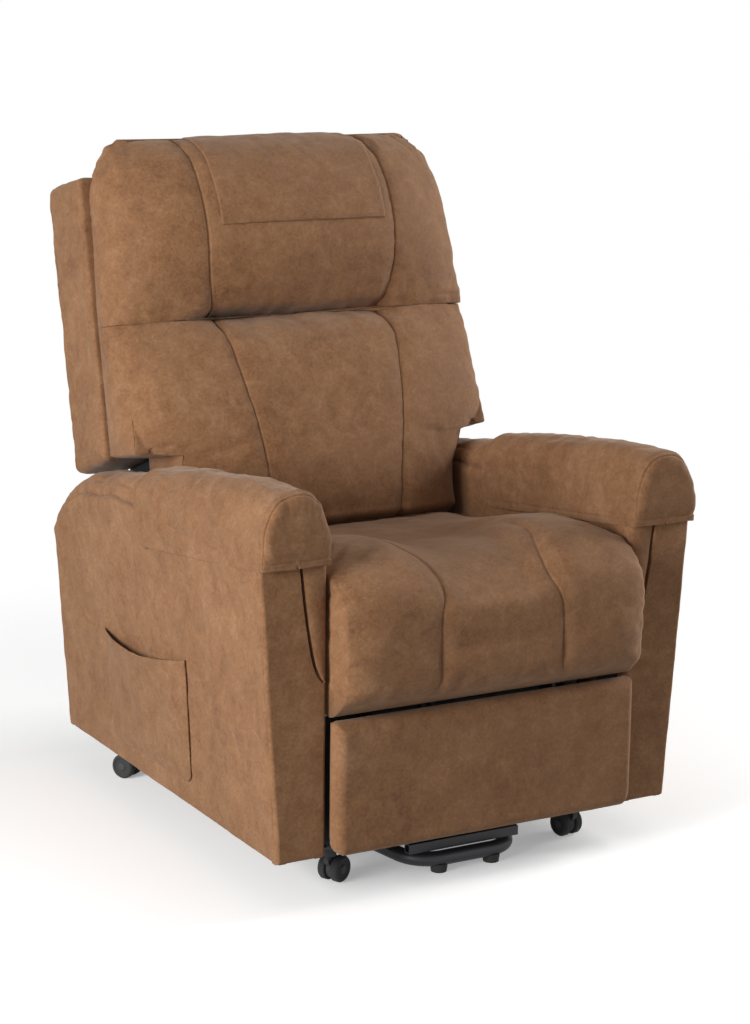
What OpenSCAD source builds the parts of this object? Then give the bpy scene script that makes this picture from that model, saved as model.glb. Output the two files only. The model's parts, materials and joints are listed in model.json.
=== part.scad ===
// Lift recliner chair: a padded armchair on four casters whose base raises and tips it,
// whose back reclines with the seat, and whose footrest unfolds on a scissor linkage.
// The chair faces -Y. Depths are measured back from the front plane of the arms.

/* [Chair body] */
// Width over both arms
chair_w = 800; // [770:1:830]
// Clear width between the arms
between_arms = 560; // [545:1:572]
// Depth of an arm from its front panel to its rear panel
arm_depth = 825; // [800:1:835]
// Height of the lower edge of the arms above the floor
arm_bottom = 75; // [75:1:90]
// Height of the top of the arm side panels
arm_panel_top = 552; // [535:1:565]
// Height of the crown of the armrest pads at the front
armrest_h = 657; // [635:1:675]
// How far an arm leans outwards from its foot to its top
arm_flare = 32; // [10:1:40]
// Thickness of the padded arm panels
arm_pad_t = 22; // [15:1:26]
// Thickness of the removable armrest covers
cover_t = 7; // [4:0.5:9]
// Length of the removable armrest covers
cover_len = 440; // [380:5:460]
// How far the lower edge of a cover drops from its front to its rear
hem_drop = 56; // [20:1:65]

/* [Seat] */
// Height of the crest of the seat cushion's sides above the floor
seat_h = 552; // [535:1:558]
// Depth of the seat cushion
seat_depth = 576; // [560:1:582]
// How far the middle of the seat cushion stands in front of the arms
seat_overhang = 76; // [66:1:84]
// Gap between a cushion and the arm beside it
side_gap = 3.5; // [2:0.5:8]

/* [Back] */
// Lean of the back from upright when it is up
back_lean = 12.2; // [8:0.1:15]
// Length of the back above its hinge
back_len = 816; // [790:1:840]
// Half width of the back cushion over the arms
back_half_w = 348; // [335:1:360]
// Half width of the padded wings behind the cushion
wing_half_w = 355; // [330:1:370]
// Depth of the back from its rear panel to its cushion
back_box_t = 155; // [153:1:165]
// Angle through which the back reclines
recline_angle = 38; // [20:1:40]

/* [Footrest] */
// Height of the footrest panel
foot_h = 220; // [200:1:222]
// Thickness of the footrest upholstery
foot_pad_t = 28; // [20:1:30]
// Thickness of the footrest board
foot_board_t = 12; // [9:1:15]
// Length of the scissor arms between their end pins
scissor_len = 178; // [165:1:180]
// Width of the scissor arms
scissor_w = 13; // [11:0.5:14]
// Thickness of the scissor arms
scissor_t = 4; // [3:0.5:5]
// Upward slope of the footrest's path
foot_slope = 10; // [6:1:12]

/* [Lift base] */
// Angle through which the lift arms rise
lift_angle = 50; // [30:1:50]
// Forward tilt of the chair at the top of its lift
tilt_angle = 25; // [10:1:25]
// Diameter of the base hoop's tube
hoop_tube = 25; // [20:1:25]
// Half width of the base hoop at its nose
nose_half_w = 100; // [85:1:110]
// Half width of the base hoop at its rear
rear_half_w = 200; // [180:1:205]
// Height of the rubber feet under the hoop
foot_rubber_h = 10; // [8:0.5:14]
// Width of the flat lift arms
lift_bar_w = 30; // [24:1:34]
// Thickness of the flat lift arms
lift_bar_t = 6; // [4:0.5:6]

/* [Casters] */
// Diameter of the caster wheels
wheel_d = 44; // [38:1:50]
// Width of one caster wheel
wheel_w = 14; // [10:1:16]
// Distance of the wheel axle from the swivel axis
caster_trail = 12; // [8:1:16]

/* [Hardware] */
// Diameter of the linkage pins
pin_d = 8; // [6:0.5:8]
// Running clearance round a pin
pin_gap = 0.3; // [0.2:0.05:0.4]
// Thickness of the bracket plates
plate_t = 5; // [4:0.5:5]
// Side of the square frame tubes
tube_s = 25; // [22:1:25]
// Side of the square cross tubes on the base hoop
cross_s = 20; // [18:1:22]
// Diameter of an actuator's outer tube
act_d = 44; // [36:1:46]
// Diameter of an actuator's rod
rod_d = 20; // [16:1:22]

/* [Hidden] */
$fn = 48;
eps = 0.01;

FABRIC = "#7a5a42";
FABRIC_DARK = "#684a36";
LINING = "#17171a";
STEEL = "#26272a";
ZINC = "#9a9da1";
WOOD = "#b99b72";
RUBBER = "#1c1c1e";
PLASTIC = "#2d2e31";

// ---- Side view points are [depth, height]; angles turn a forward point upwards ----
function turn(v, a) = [v[0] * cos(a) + v[1] * sin(a), v[1] * cos(a) - v[0] * sin(a)];
function about(p, c, a) = c + turn(p - c, a);
function len2(v) = norm(v);
function dir2(p, q) = atan2(q[1] - p[1], q[0] - p[0]);
function smooth(t) = let (c = max(0, min(1, t))) c * c * (3 - 2 * c);
function dip(x, w) = exp(-x * x / (w * w));
// Half stroke of a rod that drives a slotted crank of height h, fitted to an even motion
function half_throw(h, swing) = let (a = swing / 2) h * (0.25 * a * PI / 180 + 0.75 * tan(a));

// ---- Main places ----
inner_x = between_arms / 2;
outer_x = chair_w / 2;
foot_x = outer_x - arm_flare;
hinge = [620, 330];
rear_sweep_r = 255;
back_rear_t = 151;
wing_top = 757;
front_y = -(hinge[0] + back_rear_t * cos(back_lean) + wing_top * sin(back_lean) - seat_overhang) / 2;
plate_z = arm_bottom - plate_t;
rail_z = arm_bottom;
rail_h = 40;
rail_x = inner_x - 35;
rail_d = [60, 760];
side_plate_x = rail_x + 9;
layer_gap = 2;

// Lift linkage: B pivots on the base, C pivots on the chair
lift_b1 = [560, 72];
lift_c1 = [215, 105];
lift_b2 = [428.3, 142.1];
lift_c2 = [160, 150];
lug_x = 208;
lift_crank_h = 57;
lift_slack = 0.9;
lift_rod_z = lift_b1[1] + lift_crank_h;
lift_pin = [lift_b1[0] - half_throw(lift_crank_h, lift_angle), lift_rod_z];

// Recline linkage
lever_drop = 60;
lever_pin = hinge - [0, lever_drop];
seat_tilt = 5;
crank_h = 110;
recline_slack = 0.8;
recline_rod_z = hinge[1] - crank_h;
recline_pin = [hinge[0] + half_throw(crank_h, recline_angle), recline_rod_z];
recline_x = 70;
guide_pin = [150, 240];
function seat_at(p, a) = about(lever_pin, hinge, a) + turn(p - lever_pin, a * seat_tilt / recline_angle);

// Seat structure
seat_rail_z = 290;
seat_rail_x = side_plate_x - 41;
seat_rail_d = [62, 604];
wire_d = 3.6;
deck_z = seat_rail_z + tube_s + wire_d + 0.5;
ear_x = seat_rail_x + tube_s;
lever_x = side_plate_x - plate_t - layer_gap;

// Footrest scissor
th_rest = 85;
th_out = 5;
axis_f = [-cos(foot_slope), sin(foot_slope)];
axis_n = [sin(foot_slope), cos(foot_slope)];
step_rest = scissor_len * cos(th_rest);
span_rest = scissor_len * sin(th_rest);
front_pin = [15, 100];
slot_pin = front_pin - 2 * step_rest * axis_f;
drive_pin = slot_pin + span_rest * axis_n;
lower_mid = slot_pin + step_rest * axis_f;
upper_mid = drive_pin + step_rest * axis_f;
cross1 = (drive_pin + lower_mid) / 2;
cross2 = (upper_mid + front_pin) / 2;
slot_end = drive_pin - scissor_len * sin(th_out) * axis_n;
guide_x = 178;
outer_bar_x = guide_x - layer_gap - scissor_t;
inner_bar_x = outer_bar_x - layer_gap - scissor_t;
foot_crank_h = 38;
foot_slack = 2;
foot_swing = th_rest - th_out;
foot_rod_z = drive_pin[1] - foot_crank_h;
foot_rod_pin = [drive_pin[0] + half_throw(foot_crank_h, foot_swing), foot_rod_z];
foot_rod_x = -60;
foot_bottom = 80;
foot_top = foot_bottom + foot_h;
foot_half_w = inner_x - 1;

// Casters: [x, depth, swivel angle]
caster_top = plate_z;
caster_front = [232, 70];
caster_rear = [300, 690];

// ---- Helpers ----
module chair() { translate([0, front_y, 0]) children(); }
module pair() { children(); mirror([1, 0, 0]) children(); }
module slab(x0, t) { translate([x0, 0, 0]) rotate([90, 0, 90]) linear_extrude(t) children(); }
// Flat link between two pivots, a little waisted between its eyes
waist = 1;
module bar2(p, q, w) {
  translate(p) rotate(dir2(p, q)) translate([0, waist - w / 2]) square([len2(q - p), w - 2 * waist]);
  translate(p) circle(d = w);
  translate(q) circle(d = w);
}
// Straight slot of width w cut from x = a to x = b, its ends rounded
end_relief = 0.4;
module slot_cut(a, b, w, h) {
  translate([a, -w / 2, 0]) cube([b - a, w, h]);
  for (x = [a, b]) translate([x, 0, 0]) cylinder(d = w - end_relief, h = h);
}
module pin(x0, x1, p, d = pin_d) {
  translate([x0, p[0], p[1]]) rotate([0, 90, 0]) cylinder(h = x1 - x0, d = d);
}
module bore(x0, t, p, d = pin_d + 2 * pin_gap) {
  translate([x0 - 1, p[0], p[1]]) rotate([0, 90, 0]) cylinder(h = t + 2, d = d);
}
module cross_tube(x0, x1, d, z, s) {
  difference() {
    translate([x0, d, z]) cube([x1 - x0, s, s]);
    translate([x0 - 1, d + 2, z + 2]) cube([x1 - x0 + 2, s - 4, s - 4]);
  }
}
module block(x0, x1, d0, d1, z0, z1) { translate([x0, d0, z0]) cube([x1 - x0, d1 - d0, z1 - z0]); }

// Closed skin over rings of equal length; the first and last ring are capped
module rings(pts) {
  n = len(pts[0]);
  m = len(pts);
  flat = [for (r = pts) for (p = r) p];
  function mid(r) = [for (k = [0 : 2]) sum([for (p = r) p[k]]) / n];
  skin = [for (i = [0 : m - 2]) for (j = [0 : n - 1]) let (a = i * n + j, b = i * n + (j + 1) % n)
    each [[a, b, a + n], [b, b + n, a + n]]];
  first = [for (j = [0 : n - 1]) [n * m, (j + 1) % n, j]];
  last = [for (j = [0 : n - 1]) [n * m + 1, n * (m - 1) + j, n * (m - 1) + (j + 1) % n]];
  polyhedron(concat(flat, [mid(pts[0]), mid(pts[m - 1])]), concat(skin, first, last));
}
// The same for a thin folded sheet: each ring runs out over one face and back over the other
module sheet(pts) {
  n = len(pts[0]);
  m = len(pts);
  skin = [for (i = [0 : m - 2]) for (j = [0 : n - 1]) let (a = i * n + j, b = i * n + (j + 1) % n)
    each [[a, b, a + n], [b, b + n, a + n]]];
  first = [for (j = [0 : n / 2 - 2]) each [[j, n - 1 - j, j + 1], [j + 1, n - 1 - j, n - 2 - j]]];
  o = n * (m - 1);
  last = [for (f = first) [f[0] + o, f[2] + o, f[1] + o]];
  polyhedron([for (r = pts) for (p = r) p], concat(skin, first, last));
}
function sum(v, i = 0) = i < len(v) ? v[i] + sum(v, i + 1) : 0;

// ================= Lift base =================
hoop_r = hoop_tube / 2;
hoop_z = foot_rubber_h + hoop_r;
nose_r = 55;
nose_d = 30;
hoop_rear = 700;
cross_z = hoop_z + hoop_r;
cross_half = 234;
base_cross_d = [190, 428.3, 560, 690];
side_dir = atan2(rear_half_w - nose_half_w, hoop_rear - (nose_d + nose_r));

// One tube bent into a bow-nosed hoop that widens to the rear
nose_arc = nose_half_w - nose_r;
// the tube draws in a little through its bends
bend_draw = 0.3;
side_start = [nose_arc + nose_r * cos(side_dir), nose_d + nose_r * (1 - sin(side_dir))];
module hoop(dia) {
  for (m = [-1, 1]) {
    translate([m * side_start[0], side_start[1], hoop_z]) rotate([0, 0, 90 - m * side_dir])
      rotate([0, 90, 0]) cylinder(d = dia, h = (hoop_rear - side_start[1]) / cos(side_dir));
    translate([m * nose_arc, nose_d + nose_r, hoop_z]) rotate([0, 0, (m < 0 ? 180 + side_dir : 270) - 1])
      rotate_extrude(angle = 92 - side_dir) translate([nose_r, 0]) circle(d = dia - bend_draw);
  }
  translate([-nose_arc, nose_d, hoop_z]) rotate([0, 90, 0]) cylinder(d = dia, h = 2 * nose_arc);
}
module base_hoop() { color(STEEL) chair() hoop(hoop_tube); }

// the short tube over the nose carries nothing; it stiffens the bow
nose_bar_half = nose_half_w + 4;
module base_cross_tubes() {
  color(STEEL) chair() {
    for (d = base_cross_d) cross_tube(-cross_half, cross_half, d - cross_s / 2, cross_z, cross_s);
    cross_tube(-nose_bar_half, nose_bar_half, nose_d + hoop_r / 2, cross_z, cross_s - 4);
  }
}

// Plates that carry the lower pivots of the lift arms and stays
module base_pivot_brackets() {
  color(STEEL) chair() pair() for (p = [lift_b1, lift_b2]) {
    difference() {
      slab(lug_x, plate_t) union() {
        polygon([[p[0] - 26, cross_z + cross_s], [p[0] + 26, cross_z + cross_s],
          [p[0] + 13, p[1]], [p[0] - 13, p[1]]]);
        translate(p) circle(d = 26);
      }
      bore(lug_x, plate_t, p, pin_d + 2 * pin_gap);
    }
  }
}

module base_feet() {
  color(RUBBER) chair() difference() {
    for (p = [[nose_arc + 5, nose_d + 3], [rear_half_w - 2, hoop_rear - 18]], m = [-1, 1])
      translate([m * p[0], p[1], 0]) cylinder(d1 = 26, d2 = 30, h = foot_rubber_h + 4);
    hoop(hoop_tube + 0.8);
  }
}

// Shared form of an actuator: gear housing, motor, outer tube and end cap, along depth
bore_inset = 10;
motor_len = 60;
module actuator(x, z, d0, d1, motor_side, housing) {
  body_d = d0 + housing;
  difference() {
    union() {
      block(x - act_d / 2, x + act_d / 2, d0, body_d, z - act_d / 2, z + act_d / 2);
      translate([x, body_d - eps, z]) rotate([-90, 0, 0]) cylinder(d = act_d - 6, h = d1 - body_d);
      translate([x, d1 - 16, z]) rotate([-90, 0, 0]) cylinder(d = act_d, h = 16);
      translate([x + motor_side * (act_d / 2 - eps), d0 + housing / 2, z]) rotate([0, 90 * motor_side, 0])
        cylinder(d = min(housing, act_d) - 4, h = motor_len);
    }
    translate([x, d0 + housing + bore_inset, z]) rotate([-90, 0, 0])
      cylinder(d = rod_d + 2 * pin_gap, h = d1 - d0);
  }
}
// Shared form of a rod with a flat tongue between two crank plates, and its pin
tongue_t = 8;
tongue_len = 32;
module actuator_rod(x, z, d0, p) {
  half_pin = tongue_t / 2 + layer_gap + plate_t + 3;
  translate([x, d0, z]) rotate([-90, 0, 0]) cylinder(d = rod_d, h = p[0] - d0 - tongue_len);
  slab(x - tongue_t / 2, tongue_t) union() {
    translate(p) circle(d = rod_d);
    translate([p[0] - tongue_len - 1, z - rod_d / 2]) square([tongue_len + 1, rod_d]);
  }
  pin(x - half_pin, x + half_pin, p);
}
// A crank plate whose slot runs along its own radius; angles are as the plate stands at rest
crank_w = 26;
module slotted_crank(x, c, h, swing, up, slack) {
  r1 = h / cos(swing / 2);
  w = pin_d + 2 * slack;
  a = up > 0 ? 90 + swing / 2 : -90 + swing / 2;
  difference() {
    slab(x, plate_t) translate(c) rotate(a) union() {
      translate([0, -crank_w / 2]) square([r1 + 12, crank_w]);
      circle(d = tube_s + 6);
    }
    translate([x - 1, c[0], c[1]]) rotate([90, 0, 90]) rotate([0, 0, a])
      slot_cut(h - end_relief, r1 + end_relief, w, plate_t + 2);
  }
}
module twin_cranks(x, c, h, swing, up, slack) {
  for (x0 = [x - tongue_t / 2 - layer_gap - plate_t, x + tongue_t / 2 + layer_gap])
    slotted_crank(x0, c, h, swing, up, slack);
}

lift_act_d = [200, 452];
lift_housing = 60;
module lift_actuator() {
  color(PLASTIC) chair() {
    actuator(0, lift_rod_z, lift_act_d[0], lift_act_d[1], -1, lift_housing);
    // saddle brackets on the two front cross tubes
    for (d = [base_cross_d[0] + 14, base_cross_d[1] - 6])
      block(-act_d / 2, act_d / 2, d - 4 - (d < 300 ? 14 : 4), d + 8, cross_z + cross_s,
        lift_rod_z - act_d / 2 + (d < 300 ? eps : 6));
  }
}
module lift_actuator_rod() {
  color(ZINC) chair() actuator_rod(0, lift_rod_z, lift_act_d[0] + lift_housing + bore_inset + 4, lift_pin);
}

// Two flat arms joined by a torque tube that carries the slotted crank
module lift_arms() {
  arm_x = lug_x - layer_gap - lift_bar_t;
  color(STEEL) chair() {
    pair() {
      slab(arm_x, lift_bar_t) bar2(lift_b1, lift_c1, lift_bar_w);
      pin(arm_x - 3, lug_x + plate_t + 1.5, lift_b1);
      pin(arm_x - 3, lug_x + plate_t + 1.5, lift_c1);
    }
    pin(-arm_x, arm_x, lift_b1, tube_s);
    twin_cranks(0, lift_b1, lift_crank_h, lift_angle, 1, lift_slack);
  }
}

// Second link of each side, outside the lugs; its chair end is the open pivot
module lift_stays() {
  stay_x = lug_x + plate_t + layer_gap;
  color(STEEL) chair() pair() {
    difference() {
      slab(stay_x, lift_bar_t) bar2(lift_b2, lift_c2, lift_bar_w - 4);
      bore(stay_x, lift_bar_t, lift_c2, pin_d + 2.4);
    }
    pin(lug_x - 1.5, stay_x + 3, lift_b2);
  }
}

// ================= Chassis =================
chassis_cross_d = [100, 715];
module chassis_rails() {
  color(STEEL) chair() pair() difference() {
    block(rail_x, rail_x + tube_s, rail_d[0], rail_d[1], rail_z, rail_z + rail_h);
    block(rail_x + 2, rail_x + tube_s - 2, rail_d[0] - 1, rail_d[1] + 1, rail_z + 2, rail_z + rail_h - 2);
  }
}
cross_top = rail_z + rail_h;
module chassis_cross_tubes() {
  color(STEEL) chair() for (d = chassis_cross_d)
    cross_tube(-rail_x - tube_s, rail_x + tube_s, d, cross_top, tube_s);
}

// Side plates: lift lugs, the curved guide of the seat, the back hinge ears and a clevis
slot_r = pin_d / 2 + pin_gap;
slot_steps = 12;
slot_path = [for (i = [0 : slot_steps]) seat_at(guide_pin, recline_angle * i / slot_steps)];
function slot_way(i) = let (a = slot_path[max(i - 1, 0)], b = slot_path[min(i + 1, slot_steps)])
  (b - a) / len2(b - a);
function slot_end_arc(i, a0) = let (t = slot_way(i), a = atan2(t[1], t[0]) + a0)
  [for (f = [15 : 15 : 165]) slot_path[i] + slot_r * [cos(a - f), sin(a - f)]];
module guide_slot2() {
  n = [for (i = [0 : slot_steps]) let (t = slot_way(i)) [-t[1], t[0]] * slot_r];
  polygon(concat([for (i = [0 : slot_steps]) slot_path[i] + n[i]], slot_end_arc(slot_steps, 90),
    [for (i = [slot_steps : -1 : 0]) slot_path[i] - n[i]], slot_end_arc(0, 270)));
}
module chassis_brackets() {
  top = slot_path[slot_steps] + [0, slot_r + 7];
  lug_front = chassis_cross_d[0] + tube_s;
  color(STEEL) chair() {
    pair() {
      // lift lug behind the front cross tube
      difference() {
        slab(lug_x, plate_t) union() {
          polygon([[lug_front, cross_top], [lug_front, cross_top + tube_s], [lift_c2[0] - 10, lift_c2[1] + 14],
            [lift_c2[0] + 14, lift_c2[1] + 8], [lift_c1[0] + 12, lift_c1[1] + 10],
            [lift_c1[0] + 6, lift_c1[1] - 12], [lift_c1[0] - 12, lift_c1[1] - 10]]);
          translate(lift_c1) circle(r = 15);
          translate(lift_c2) circle(r = 15);
        }
        bore(lug_x, plate_t, lift_c1);
      }
      pin(lug_x, lug_x + plate_t + 2 * layer_gap + lift_bar_t + 1.5, lift_c2);
      // curved guide for the front of the seat
      slab(side_plate_x, plate_t) difference() {
        polygon([[128, cross_top + eps], [196, cross_top + eps], [guide_pin[0] + 20, guide_pin[1]],
          [guide_pin[0] + 4, guide_pin[1] + 40], [top[0] + 14, top[1]], [top[0] - 14, top[1]],
          [top[0] - 18, top[1] - 30], [128, cross_top + tube_s + 2]]);
        guide_slot2();
      }
      // hinge ear of the back
      difference() {
        slab(side_plate_x, plate_t) union() {
          polygon([[hinge[0] - 60, cross_top], [hinge[0] + 60, cross_top], [hinge[0] + 18, hinge[1]],
            [hinge[0] - 18, hinge[1]]]);
          translate(hinge) circle(r = 18);
        }
        bore(side_plate_x, plate_t, hinge, pin_d + 4 + 2 * pin_gap);
      }
    }
    // clevis that holds the front end of the recline actuator
    block(recline_x - 14, recline_x + 14, chassis_cross_d[0] + 2, chassis_cross_d[0] + tube_s - 2,
      cross_top + tube_s, recline_rod_z + 14);
  }
}

plate_len = 100;
// How far a front caster's plate reaches inwards and forwards of its axis
plate_reach = [27, 36];
module caster_plates() {
  color(STEEL) chair() pair() {
    for (p = [caster_front - plate_reach, [rail_x, caster_rear[1] - plate_len / 2]])
      block(p[0], inner_x + 1.8 * arm_pad_t, p[1], p[1] + plate_len, plate_z, plate_z + plate_t);
  }
}

// Power and control box, with the sockets that the handset and the supply lead plug into
box_d = [560, 700];
box_x = [-190, -90];
box_z = cross_top + 20;
box_h = 50;
vent_pitch = (box_d[1] - box_d[0] - 20) / 6;
module control_box() {
  color(PLASTIC) chair() {
    difference() {
      union() {
        block(box_x[0], box_x[1], box_d[0], box_d[1], box_z, box_z + box_h);
        block(box_x[0] + 8, box_x[1] - 8, box_d[1] - eps, chassis_cross_d[1], box_z, box_z + 5);
        for (i = [0 : 5]) let (d = box_d[0] + 12 + i * vent_pitch)
          block(box_x[0] + 12, box_x[1] - 12, d, d + vent_pitch * 0.4, box_z + box_h - eps, box_z + box_h + 3);
      }
      for (x = [box_x[0] + 20, box_x[0] + 60])
        block(x, x + 20, box_d[1] - 14, box_d[1] + 1, box_z + 20, box_z + 34);
    }
  }
}

recline_act_d = [chassis_cross_d[0] + tube_s - 2, 510];
recline_housing = 64;
recline_stroke = 2 * half_throw(crank_h, recline_angle);
module recline_actuator() {
  color(PLASTIC) chair() actuator(recline_x, recline_rod_z, recline_act_d[0], recline_act_d[1], 1, recline_housing);
}
module recline_actuator_rod() {
  color(ZINC) chair() actuator_rod(recline_x, recline_rod_z,
    recline_act_d[0] + recline_housing + bore_inset + recline_stroke + 4, recline_pin);
}

// ================= Arms =================
crown_start = 100;
function crown_z(d) = d <= hinge[0]
  ? armrest_h - (armrest_h - hinge[1] - rear_sweep_r) * pow(max(0, d - crown_start) / (hinge[0] - crown_start), 1.6)
  : hinge[1] + sqrt(max(1, rear_sweep_r * rear_sweep_r - pow(d - hinge[0], 2)));
function panel_top(d) = min(arm_panel_top, crown_z(d) - 48);
function outer_at(z) = foot_x + arm_flare * (z - arm_bottom) / (arm_panel_top - arm_bottom);
frame_in = inner_x + arm_pad_t - 2;
frame_out = foot_x - arm_pad_t;
// Depths at which the top line of an arm is taken; between them it runs straight
arm_n = 16;
arm_ds = concat([0], [for (i = [0 : arm_n]) arm_pad_t + (arm_depth - 2 * arm_pad_t) * i / arm_n], [arm_depth]);
top_table = [for (d = arm_ds) [d, panel_top(d)]];
function top_line(d) = lookup(d, top_table);
function top_points(d0, d1, drop) = concat([[d0, top_line(d0) - drop]],
  [for (d = arm_ds) if (d > d0 && d < d1) [d, top_line(d) - drop]], [[d1, top_line(d1) - drop]]);
function reversed(v) = [for (i = [len(v) - 1 : -1 : 0]) v[i]];
function under_curve(d0, d1, z0, drop) = concat([[d0, z0], [d1, z0]], reversed(top_points(d0, d1, drop)));

// Wooden frame of an arm: bottom board, posts, top rail and a plywood web
module arm_frame() {
  d0 = arm_pad_t;
  d1 = arm_depth - arm_pad_t;
  color(WOOD) chair() {
    block(frame_in, frame_out, d0, d1, arm_bottom, arm_bottom + 20);
    slab(frame_in, frame_out - frame_in) polygon(under_curve(d0, d0 + 38, arm_bottom + 20 - eps, 0));
    slab(frame_in, frame_out - frame_in) polygon(under_curve(d1 - 38, d1, arm_bottom + 20 - eps, 0));
    slab(frame_in + 16, 12) polygon(under_curve(d0 + 38 - eps, d1 - 38 + eps, arm_bottom + 20 - eps, 10));
    slab(frame_in, frame_out - frame_in)
      polygon(concat(top_points(d0, d1, 20), reversed(top_points(d0, d1, 0))));
  }
}
module arm_section(x_in) {
  polygon([[x_in, arm_bottom], [foot_x, arm_bottom], [outer_x, arm_panel_top], [x_in, arm_panel_top]]);
}
module along_depth(d0, d1) { translate([0, d1, 0]) rotate([90, 0, 0]) linear_extrude(d1 - d0) children(); }
module arm_outer_panel() {
  d0 = arm_pad_t;
  d1 = arm_depth - arm_pad_t;
  color(FABRIC) chair() intersection() {
    along_depth(d0, d1) arm_section(frame_out);
    slab(frame_out - 1, outer_x - frame_out + 2) polygon(under_curve(d0, d1, arm_bottom, 0));
  }
}
module arm_inner_panel() {
  color(FABRIC_DARK) chair()
    slab(inner_x, frame_in - inner_x) polygon(under_curve(arm_pad_t, arm_depth - arm_pad_t, arm_bottom, 0));
}
front_roll = 7;
module arm_end_panels() {
  color(FABRIC_DARK) chair() {
    along_depth(-front_roll, arm_pad_t) arm_section(inner_x);
    intersection() {
      along_depth(arm_depth - arm_pad_t, arm_depth) arm_section(inner_x);
      slab(inner_x - 1, outer_x - inner_x + 2)
        polygon(under_curve(arm_depth - arm_pad_t, arm_depth, arm_bottom, 0));
    }
  }
}

// Crowned armrest: a ring of points across the arm at each depth, flat below
rest_n = 12;
seat_line = 0.3;
rest_pow = 2 / 2.5;
function rest_ring(d, grow, close, drop) = let (zb = top_line(d) + seat_line - drop,
    x0 = inner_x + cover_t - grow, x1 = outer_at(panel_top(d)) - cover_t + grow,
    xc = (x0 + x1) / 2, a = (x1 - x0) / 2 * close, b = (crown_z(d) - cover_t + grow - zb) * close)
  concat([for (i = [0 : rest_n]) let (f = 180 * i / rest_n)
      [xc + a * sign(cos(f)) * pow(abs(cos(f)), rest_pow), d, zb + b * pow(sin(f), rest_pow)]],
    [for (i = [1 : 3]) [xc - a + 2 * a * i / 4, d, zb]]);
nose_len = 14;
function rest_rings(d0, d1, grow, drop = 0) = concat(
  [for (q = [0.5, 0.77, 0.9]) rest_ring(d0 + nose_len * 0.8 * (1 - sqrt(1 - q * q)), grow, 0.886 + 0.12 * q, drop)],
  [rest_ring(nose_len, grow, 1, drop)],
  [for (d = arm_ds) if (d > nose_len && d < d1 - 1) rest_ring(d, grow, 1, drop)], [rest_ring(d1, grow, 1, drop)]);
module armrest_pad() {
  color(FABRIC) chair() rings(rest_rings(-front_roll, arm_depth, 0));
}
// The cover's sides hang over the arm panels and drop towards the rear
skirt_t = 2.7;
skirt_gap = 0.3;
skirt_lap = 12;
skirt_front = -front_roll - 5;
module cover_side(x0, lap_x0) {
  slab(x0, skirt_t) polygon([[skirt_front, arm_panel_top - 3], [cover_len, arm_panel_top - hem_drop],
    [cover_len, arm_panel_top + skirt_lap], [skirt_front, arm_panel_top + skirt_lap]]);
  slab(lap_x0, skirt_t + 2) translate([skirt_front, arm_panel_top + 2 * seat_line])
    square([cover_len - skirt_front, skirt_lap - 2 * seat_line]);
}
module armrest_cover() {
  color(FABRIC) chair() {
    difference() {
      rings(rest_rings(-front_roll - cover_t - 3, cover_len, cover_t));
      rings(rest_rings(-front_roll - 0.4, cover_len + 12, 0.5, 2));
    }
    cover_side(outer_x + skirt_gap, outer_x - 2 + skirt_gap);
    cover_side(inner_x - skirt_gap - skirt_t, inner_x - skirt_gap - skirt_t);
  }
}

// Storage pocket on the outside of the arm; its mouth stands open
pocket_d = [270, 600];
pocket_z = [110, 322];
pocket_wall = 3;
mouth = 16;
seam_gap = 0.02;
module side_pocket() {
  n = 10;
  function rim(i) = pocket_z[1] - 12 * sin(180 * i / n) + 8 - 16 * i / n;
  function skin_x(z, o) = outer_at(z) + seam_gap + o * (0.45 + 0.55 * (z - pocket_z[0]) / (pocket_z[1] - pocket_z[0]));
  z0 = pocket_z[0];
  z1 = pocket_z[1];
  module wedge(d0, d1, za, zb, o) {
    along_depth(d0, d1) polygon([[skin_x(za, 0), za], [skin_x(za, o), za], [skin_x(zb, o), zb], [skin_x(zb, 0), zb]]);
  }
  color(FABRIC_DARK) chair() difference() {
    intersection() {
      wedge(pocket_d[0], pocket_d[1], z0, z1 + 14, mouth + pocket_wall);
      slab(foot_x - 20, 80) polygon(concat([[pocket_d[0] + 2, z0 + 18], [pocket_d[0] + 20, z0 + 10],
        [pocket_d[1] - 30, z0], [pocket_d[1] - 8, z0 + 10]],
        [for (i = [n : -1 : 0]) [pocket_d[0] + (pocket_d[1] - pocket_d[0]) * i / n, rim(i)]]));
    }
    wedge(pocket_d[0] + 10, pocket_d[1] - 14, z0 + 24, z1 + 20, mouth);
  }
}

// ================= Back =================
module on_back() { chair() translate([0, hinge[0], hinge[1]]) rotate([-back_lean, 0, 0]) children(); }
board_t = 22;
lower_s = 96;
board_x = lever_x - board_t;
wing_s = 264;
wing_rear_s = 244;
cushion_t = back_box_t - back_rear_t;
panel_t = 22;
// Block in the back's own directions: t forwards from the hinge plane, s up along the back
module bblock(x0, x1, t0, t1, s0, s1) { translate([x0, -t1, s0]) cube([x1 - x0, t1 - t0, s1 - s0]); }

board_rear = -back_rear_t + panel_t;
board_foot = 34;
module back_side_boards() {
  color(LINING) on_back() pair() difference() {
    union() {
      bblock(board_x, board_x + board_t, board_rear, cushion_t, -15, wing_top - panel_t);
      bblock(board_x, board_x + board_t, cushion_t - eps, board_foot, -15, lower_s - 8);
    }
    translate([board_x - 1, 0, 0]) rotate([0, 90, 0]) cylinder(d = tube_s + 0.4, h = board_t + 2);
  }
}
module back_cross_rails() {
  color(WOOD) on_back() for (s = [[120, 190], [430, 490], [wing_top - panel_t - 70, wing_top - panel_t]])
    bblock(-board_x, board_x, board_rear, board_rear + 24, s[0], s[1]);
}
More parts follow.
